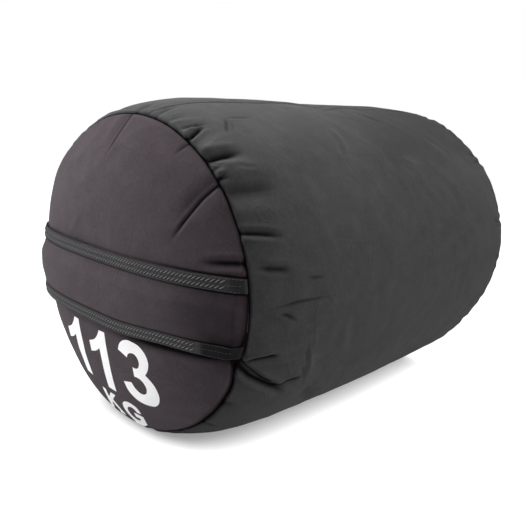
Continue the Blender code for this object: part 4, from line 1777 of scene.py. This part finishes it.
class BandFace(FrontFace):
    """The cover band's outer side.

    Its sizes are the heights over the end's form: under the upper hem and over the zip in the
    middle, then how much less each is at the left end, and a bulge at the lower right.
    """

    lying: float = 0.0030
    swell: float = 0.0050
    left_less: tuple[float, float] = (0.0026, 0.0028)
    bulge: float = 0.0016
    bulge_at: float = 0.150

    def __init__(self, half: float, hem: float, cloth: float) -> None:
        """Keep the band's half height, its hems' height and its cloth's thickness."""
        super().__init__((), SHARED_LUMPS[:1], zip_side=False)
        self.half, self.hem, self.cloth = half, hem, cloth

    def stand(self, u: Array, v: Array) -> Array:
        """How far the band stands off the end's form.

        It lies on the upper cloth under its top hem, swells over the zip, and rests on the hook
        and loop strips at its lower hem. It comes down to the seam at both ends.

        Args:
            u: first coordinates.
            v: second coordinates.

        Returns:
            The heights.
        """
        away = self.edge_distance(u, v)[0]
        left = smooth((-FASTENER_REACH - u) / 0.022)
        swell = self.swell - self.left_less[1] * left
        height = self.lying - self.left_less[0] * left
        height += swell * smooth((self.half - self.hem - v) / 0.018)
        height -= (0.5 + 0.45 * left) * swell * smooth((-0.004 - v) / 0.022)
        right = np.exp(-(((u - self.bulge_at) / 0.032) ** 2))
        height += self.bulge * right * smooth((-0.012 - v) / 0.026)
        return height * smooth(away / 0.012) + self.cloth * smooth(away / 0.003)

    def place(self, u: Array, v: Array, lift: Array | float = 0.0) -> Array:
        """Places of the band's points, its own height added to the lift."""
        u, v = np.broadcast_arrays(np.asarray(u, float), np.asarray(v, float))
        return super().place(u, drawn_up(u, v), lift + self.stand(u, v))

    def relief(self, u: Array, v: Array) -> Array:
        """The usual painted shade, a painted shadow line along both hems, and painted shade over
        the right end and its lower corner.

        Args:
            u: first coordinates.
            v: second coordinates.

        Returns:
            -1 where painted shade darkens the band most, to 1 where it is rubbed.
        """
        total = super().relief(u, v)
        # Painted shadow lines along both hems, then painted shade over the right end and its lower
        # corner.
        for line in (self.half - self.hem - 0.0005, self.hem - self.half + 0.0004):
            total -= 0.75 * np.exp(-(((v - line) / 0.0011) ** 2))
        corner = smooth((u - 0.135) / 0.035) * smooth((-0.002 - v) / 0.030)
        return np.clip(total - 0.38 * smooth((u - 0.10) / 0.06) - 0.32 * corner, -1, 1)


@dataclass
class CoverBand:
    """Band over the mouth, with its hem strips and their stitching.

    Pairs of sizes are for the lower and the upper hem.
    """

    half: float = 0.0425
    hem: float = 0.0140
    cloth: float = 0.0012
    strip: float = 0.0007
    turned: float = 0.0012
    columns: int = 321
    slant: float = 0.0058
    slant_pitch: float = 0.0046
    slant_rows: tuple[tuple[float, float], ...] = ((0.0022, 0.0062), (0.0078, 0.0118))
    slant_end: tuple[float, float] = (0.142, 0.166)
    plain_dark: tuple[float, float] = (0.75, 0.50)
    lock_pitch: float = 0.0030
    lock_rows: tuple[float, ...] = (0.0009, 0.0070, 0.0131)
    thread: float = 0.00055
    face: BandFace = field(init=False)

    def build(self) -> None:
        """Make the band, then both strips and their stitches."""
        self.face = BandFace(self.half, self.hem, self.cloth)
        runs = ((0.0115, 8), (0.0165, 10), (0.0685, 40), (0.0735, 10), (2 * self.half, 8))
        u, v = end_strip(graded(*runs) - self.half, self.columns)
        wear = self.face.relief(u, v)
        band = grid_object("band_cloth", self.face.place(u, v), (u, v), wear=wear)
        dress(band, END_CLOTH.material(), Look.END, "cover_band", thickness=self.cloth)
        for name, low in (("upper_hem", self.half - self.hem), ("lower_hem", -self.half)):
            self.make_strip(name, low)
            self.sew_strip(name, low)

    def make_strip(self, name: str, low: float) -> None:
        """One hem strip: a tape with rounded edges laid on the band.

        Args:
            name: the hem.
            low: rise of its lower edge.
        """
        share = 0.5 - 0.5 * np.cos(np.linspace(0, math.pi, 17))
        u, v = end_strip(low + self.hem * share, self.columns)
        edge = np.minimum(v - low, low + self.hem - v)
        inner = smooth(edge / self.turned)
        away = self.face.edge_distance(u, v)[0]
        points = self.face.place(u, v, self.strip * (0.35 + 0.65 * inner) * smooth(away / 0.003))
        past = u - self.slant_end[low > 0]
        # Painted shade between the slanted stitches and painted shadow lines along both edges; the
        # plain end past the stitches is darker.
        wear = -0.20 * inner * (1 - smooth(past / 0.004)) - 0.85 * (1 - smooth(edge / 0.0007))
        wear -= self.plain_dark[low > 0] * inner * smooth((past - 0.003) / 0.008)
        strip = grid_object(name + "_strip", points, (u, v), wear=wear)
        thick = self.strip * 0.5
        dress(strip, STRIP_CLOTH.material(), Look.WEBBING, "band_" + name, thickness=thick)

    def sew_strip(self, name: str, low: float) -> None:
        """Two rows of slanted stitches and three straight rows on one strip.

        Args:
            name: the hem.
            low: rise of its lower edge.
        """
        reach = BAG.front_reach(low)
        holes = np.arange(-reach + 0.004, self.slant_end[low > 0], self.slant_pitch)
        starts = [needle_holes(holes, low + bottom) for bottom, _ in self.slant_rows]
        ends = [needle_holes(holes + self.slant, low + top) for _, top in self.slant_rows]
        self.sew(name + "_slant_stitches", starts, ends, self.thread, GREY_THREAD)
        holes = np.arange(-reach + 0.004, reach - 0.006, self.lock_pitch)
        starts, ends = (
            [needle_holes(holes + shift * self.lock_pitch, low + rise) for rise in self.lock_rows]
            for shift in (0.08, 0.92)
        )
        self.sew(name + "_lock_stitches", starts, ends, 0.45 * self.thread, BLACK_THREAD)

    def sew(
        self, name: str, starts: list[Array], ends: list[Array], radius: float, thread: Thread,
    ) -> None:
        """Lay one set of stitches on a strip."""
        rows = stitches(name, self.face, starts, ends, self.strip, radius)
        dress(rows, thread.material(), Look.WEBBING)


@dataclass
class MouthClosure:
    """What lies under the band: zip tapes, the cloth tabs beyond them, hook and loop."""

    tape_reach: float = 0.1722
    tape_rises: tuple[float, float] = (0.0041, 0.018)
    tape_lift: float = -0.0015
    tape: float = 0.0008
    tab_reach: float = 0.1482
    tab_half: float = 0.0097
    pile_rises: tuple[float, float] = (-0.0418, -0.0218)
    pile_lifts: tuple[float, float] = (0.0015, 0.0030)
    cloth: float = 0.0012

    def build(self) -> None:
        """Make each strip, then dress the teeth, the stops, the slider and the pull."""
        face = FrontFace((), SHARED_LUMPS[:1], zip_side=True)
        lower = FrontFace((), SHARED_LUMPS, zip_side=True)
        tape, fuzzy, end = TAPE_CLOTH.material(), FUZZY_CLOTH.material(), END_CLOTH.material()
        reach = (-self.tape_reach, self.tape_reach)
        for side, name in ((1, "upper"), (-1, "lower")):
            rises = tuple(side * rise for rise in self.tape_rises)
            piece = self.strip(face, f"tape_{name}", reach, rises, self.tape_lift)
            dress(piece, tape, Look.TAPE, f"zip_tape_{name}", thickness=self.tape)
        for side, name in ((-1, "left"), (1, "right")):
            reach = (side * self.tab_reach, side * (BAG.front_width / 2 - self.cloth))
            piece = self.strip(face, f"end_tab_{name}", reach, (-self.tab_half, self.tab_half), 0.0)
            dress(piece, end, Look.END, f"zip_end_tab_{name}", thickness=self.cloth)
        reach = (-FASTENER_REACH, FASTENER_REACH)
        for name, lift in zip(("loop_strip", "hook_strip"), self.pile_lifts):
            piece = self.strip(lower, name + "_pile", reach, self.pile_rises, lift, drawn_up)
            dress(piece, fuzzy, Look.FASTENER, name, thickness=self.cloth)
        self.dress_solids()

    def strip(
        self, face: FrontFace, name: str, reach: tuple[float, float],
        rises: tuple[float, float], lift: float,
        shift: Callable[[Array, Array], Array] = lambda u, v: v,
    ) -> bpy.types.Object:
        """Strip across the end.

        Args:
            face: the cloth that it lies on.
            name: the piece's name.
            reach: both ends' u.
            rises: both edges' v.
            lift: height of its outer side above the face.
            shift: where each rise goes.

        Returns:
            The object.
        """
        u, v = np.meshgrid(np.linspace(*reach, 161), np.linspace(*rises, 9))
        v = shift(u, v)
        turned = (reach[1] < reach[0]) != (rises[1] < rises[0])
        return grid_object(name, face.place(u, v, lift), (u, v), inside_out=turned)

    def dress_solids(self) -> None:
        """Give the zip's own solids their materials."""
        resin, metal = TOOTH_RESIN.material(), CAST_METAL.material()
        for names, material in (
            (("teeth_upper", "teeth_lower"), resin),
            (("top_stop_upper", "top_stop_lower", "bottom_stop", "slider", "pull"), metal),
        ):
            for name in names:
                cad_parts["zip_" + name].material_slots[0].material = material


@dataclass
class Filling:
    """Bound seam allowances, the liner with its flap, and the sand in it."""

    columns: int = 200
    mouth: float = 0.37
    pole: float = 0.004
    rim_share: float = 0.89
    binding_depth: float = 0.0029
    binding_half: float = 0.00115
    liner: float = 0.0010
    sand_inset: float = 0.0013
    wall_gaps: tuple[float, float] = (0.0054, 0.0017)
    flap_half: float = 0.090
    tube: TubeFace = field(default_factory=lambda: TubeFace(under_folds(), SHARED_LUMPS))
    front: FrontFace = field(
        default_factory=lambda: FrontFace(UPPER_FOLDS, SHARED_LUMPS, zip_side=True)
    )
    rear: RearFace = field(default_factory=lambda: RearFace((), SHARED_LUMPS))

    def build(self) -> None:
        """Make the bindings, the liner, its flap and the sand."""
        far = BAG.rim_to_rim
        for name, low, high in (("front", 0.0050, 0.0170), ("rear", far - 0.0175, far - 0.0060)):
            self.make_binding(name, low, high)
        liner = self.vessel("liner_sack", 0.0, closed=False)
        dress(liner, LINER_CLOTH.material(), Look.LINER, "liner_bag", thickness=self.liner)
        self.make_flap()
        sand = self.vessel("sand_heap", self.sand_inset, closed=True)
        dress(sand, DRY_SAND.material(), Look.SAND, "sand_fill")

    def depth(self, rise: Array) -> Array:
        """Depth of the liner's front: more behind the zip than further out."""
        return 0.0072 - 0.0026 * smooth((np.abs(rise) - 0.022) / 0.020)

    def make_flap(self) -> None:
        """Square cloth over the liner's mouth."""
        half = self.flap_half
        line = np.linspace(-half, half, 61)
        u, v = np.meshgrid(line, line + BAG.zip_drop)
        points = self.front.place(u, v, 0.0016 - self.depth(v))
        flap = grid_object("liner_flap_cloth", points, (u, v))
        dress(flap, LINER_CLOTH.material(), Look.LINER, "liner_flap", thickness=self.liner)

    def make_binding(self, name: str, low: float, high: float) -> None:
        """Ring of folded tape inside one seam. Its section is a flat oval, cos^0.4 by sin.

        Args:
            name: the seam.
            low: distance of the ring's first edge from the front rim.
            high: the same of its second edge.
        """
        angles = np.linspace(0, 2 * math.pi, self.columns * 2 + 1) - math.pi / 2
        u, section = np.meshgrid(angles * ARC_RADIUS, np.linspace(0, 2 * math.pi, 25))
        across = np.sign(np.cos(section)) * np.abs(np.cos(section)) ** 0.4
        v = (low + high) / 2 + (high - low) / 2 * across
        lift = -self.binding_depth + self.binding_half * np.sin(section)
        points = self.tube.place(u, v, lift)[:, :-1]
        ring = grid_object(name + "_binding_tape", points, (u, v), wrap=True)
        dress(ring, STRIP_CLOTH.material(), Look.WEBBING, name + "_seam_binding")

    def vessel(self, name: str, inset: float, closed: bool) -> bpy.types.Object:
        """Bag inside the cover.

        Rows run out over the front end, round each rim on a quadratic Bezier whose middle control
        point is the seam, along the side and in over the rear end.

        Args:
            name: the piece's name.
            inset: how much deeper it lies than the liner.
            closed: whether its front is closed.

        Returns:
            The object.
        """
        angle = (np.linspace(0, 2 * math.pi, self.columns + 1) - math.pi / 2)[None, :-1]
        start, count = (self.pole, 14) if closed else (self.mouth, 10)
        shares = np.linspace(start, self.rim_share, count)[:, None]
        u = shares * BAG.front_width / 2 * np.cos(angle)
        v = BAG.zip_drop + shares * BAG.front_height / 2 * np.sin(angle)
        first = self.front.place(u, v, -self.depth(v) - inset)
        far = BAG.rim_to_rim
        middle = np.linspace(0.040, far - 0.040, 30)
        run = np.concatenate([[0.011, 0.022], middle, [far - 0.022, far - 0.011]])
        gaps = np.where((run < 0.03) | (run > far - 0.03), *self.wall_gaps)[:, None]
        side = self.tube.place(angle * ARC_RADIUS, run[:, None], -gaps - inset)
        shares = np.linspace(self.rim_share, self.pole, 14)[:, None] * ARC_RADIUS
        lift = -self.wall_gaps[1] - inset
        last = self.rear.place(shares * np.cos(angle), shares * np.sin(angle), lift)
        seams = [self.tube.place(angle[0] * ARC_RADIUS, end) for end in (0.0, far)]
        for seam in seams:
            seam += 0.003 * unit(np.array([0, 0, BAG.centre_z]) - seam * (1, 0, 1))
        rows = [first, self.corner(first[-1], seams[0], side[0]), side]
        rows += [self.corner(side[-1], seams[1], last[0]), last]
        points = np.concatenate(rows)
        flat = np.meshgrid(np.arange(self.columns + 1) * 0.0087, np.arange(len(points)) * 0.012)
        return grid_object(name, points, flat, wrap=True, inside_out=True, close=(closed, True))

    def corner(self, start: Array, seam: Array, end: Array) -> Array:
        """Rows between two rings: the middle points of a quadratic Bezier drawn to the seam."""
        t = np.linspace(0, 1, 7)[1:-1, None, None]
        return (1 - t) ** 2 * start + 2 * t * (1 - t) * seam + t**2 * end


@dataclass(frozen=True)
class Glyph:
    """One printed character: outline points in millimetres, each smooth or a corner."""

    outline: tuple[tuple[float, float, bool], ...]


def glyph(text: str) -> Glyph:
    """Glyph from its outline's points.

    Args:
        text: words like 12,30 for a corner and 12,30s for a smooth point.

    Returns:
        The glyph.
    """
    points = []
    for word in text.split():
        soft = word.endswith("s")
        x, y = word.rstrip("s").split(",")
        points.append((float(x), float(y), soft))
    return Glyph(tuple(points))


ONE = glyph("0,0 16.5,0 16.5,77 5.5,77 1.5,70.5s -7,62.5s -21,56.5 -21,42.5 -9,46.5s 0,52.5")
THREE = glyph(
    "0,60 4,68s 14,75s 28,76.5s 42,73s 50.5,63s 50.5,52s 44.5,42 "
    "53,36s 58,26s 57.5,15.5s 50.5,5s 39,0.5s 25,-0.5s 12,3s 4,10s 0,19.5 "
    "15.5,23.5 20.5,17s 28,13.5s 36,15s 41,21.5s 40,29s 34,33.5s 24,34 24,45.5 "
    "31,46s 35.5,50s 36,57s 31,62.5s 24,62.5s 18.5,59.5s 16,55"
)
KAY = glyph("0,0 8.5,0 8.5,8.5 12,12.5 22,0 32.5,0 17.8,18.2 31,30 20.5,30 8.5,18.5 8.5,30 0,30")
GEE = glyph(
    "36,21.5 32,27.5s 25,30.5s 15,30.5s 6,27s 0.8,20s 0,12s 4,4.5s 12,0s 22,-0.5s 31,2s 37,5.5 "
    "37,17.5 20.5,17.5 20.5,11.5 28,11.5 28,8.8 22,6.8s 15.5,7.3s 10,11s 8.8,16s 11,21s "
    "17,24.2s 24,23.5s 28,20"
)


@dataclass
class WeightMark:
    """Generic weight in figures and letters, printed on the lower end cloth."""

    lift: float = 0.00022
    cell: float = 0.0025
    reach: float = 0.18
    places: tuple[tuple[Glyph, float, float], ...] = (
        (ONE, -73.5, -130.0),
        (ONE, -17.2, -131.5),
        (THREE, 23.4, -127.6),
        (KAY, -39.0, -169.5),
        (GEE, 1.0, -170.0),
    )

    def build(self) -> None:
        """Lay the outlines' cells on the cloth."""
        mesh = self.outlines()
        self.cut(mesh)
        places = np.empty(len(mesh.vertices) * 3, np.float32)
        mesh.vertices.foreach_get("co", places)
        u, v, _ = places.reshape(-1, 3).T
        if mesh.polygons[0].normal.z < 0:
            mesh.flip_normals()
        laid = FrontFace((), SHARED_LUMPS, zip_side=True).place(u, v, self.lift)
        mesh.vertices.foreach_set("co", laid.astype(np.float32).ravel())
        mesh.name = "weight_print"
        mesh.materials.clear()
        mesh.update()
        mesh.shade_smooth()
        mark = bpy.data.objects.new("weight_print", mesh)
        bpy.context.scene.collection.objects.link(mark)
        dress(mark, WHITE_INK.material(), Look.END)

    def outlines(self) -> bpy.types.Mesh:
        """Flat mesh of every glyph, each at its place on the cloth's plane.

        Returns:
            The mesh.
        """
        curve = bpy.data.curves.new("weight_outline", "CURVE")
        curve.dimensions, curve.fill_mode, curve.resolution_u = "2D", "BOTH", 6
        for shape, left, bottom in self.places:
            spline = curve.splines.new("BEZIER")
            spline.bezier_points.add(len(shape.outline) - 1)
            for point, (x, y, soft) in zip(spline.bezier_points, shape.outline):
                point.co = ((x + left) / 1000, (y + bottom) / 1000, 0)
                point.handle_left_type = point.handle_right_type = "AUTO" if soft else "VECTOR"
            spline.use_cyclic_u = True
        flat = bpy.data.objects.new("weight_outline", curve)
        bpy.context.scene.collection.objects.link(flat)
        bpy.context.view_layer.update()
        seen = flat.evaluated_get(bpy.context.evaluated_depsgraph_get())
        mesh = bpy.data.meshes.new_from_object(seen)
        bpy.data.objects.remove(flat)
        return mesh

    def cut(self, mesh: bpy.types.Mesh) -> None:
        """Cut a flat mesh into small cells, so that it can follow the cloth.

        Args:
            mesh: the mesh, changed in place.
        """
        work = bmesh.new()
        work.from_mesh(mesh)
        for normal in ((1, 0, 0), (0, 1, 0)):
            for at in np.arange(-self.reach, self.reach, self.cell):
                bmesh.ops.bisect_plane(
                    work, geom=work.verts[:] + work.edges[:] + work.faces[:],
                    plane_co=tuple(at * n for n in normal), plane_no=normal, dist=1e-6,
                )
        bmesh.ops.remove_doubles(work, verts=work.verts[:], dist=1e-6)
        bmesh.ops.recalc_face_normals(work, faces=work.faces[:])
        work.to_mesh(mesh)
        work.free()


def main() -> None:
    """Build every sub-assembly in order."""
    logging.basicConfig(level=logging.INFO, format="%(message)s")
    Studio().build()
    close_seams()
    for part in (
        CoverTube(), SideSeam(), FillingEnd(), BaseEnd(), CoverBand(), MouthClosure(), Filling(),
        WeightMark(),
    ):
        part.build()
        LOG.info("%s built", type(part).__name__)


if __name__ == "__main__":
    main()
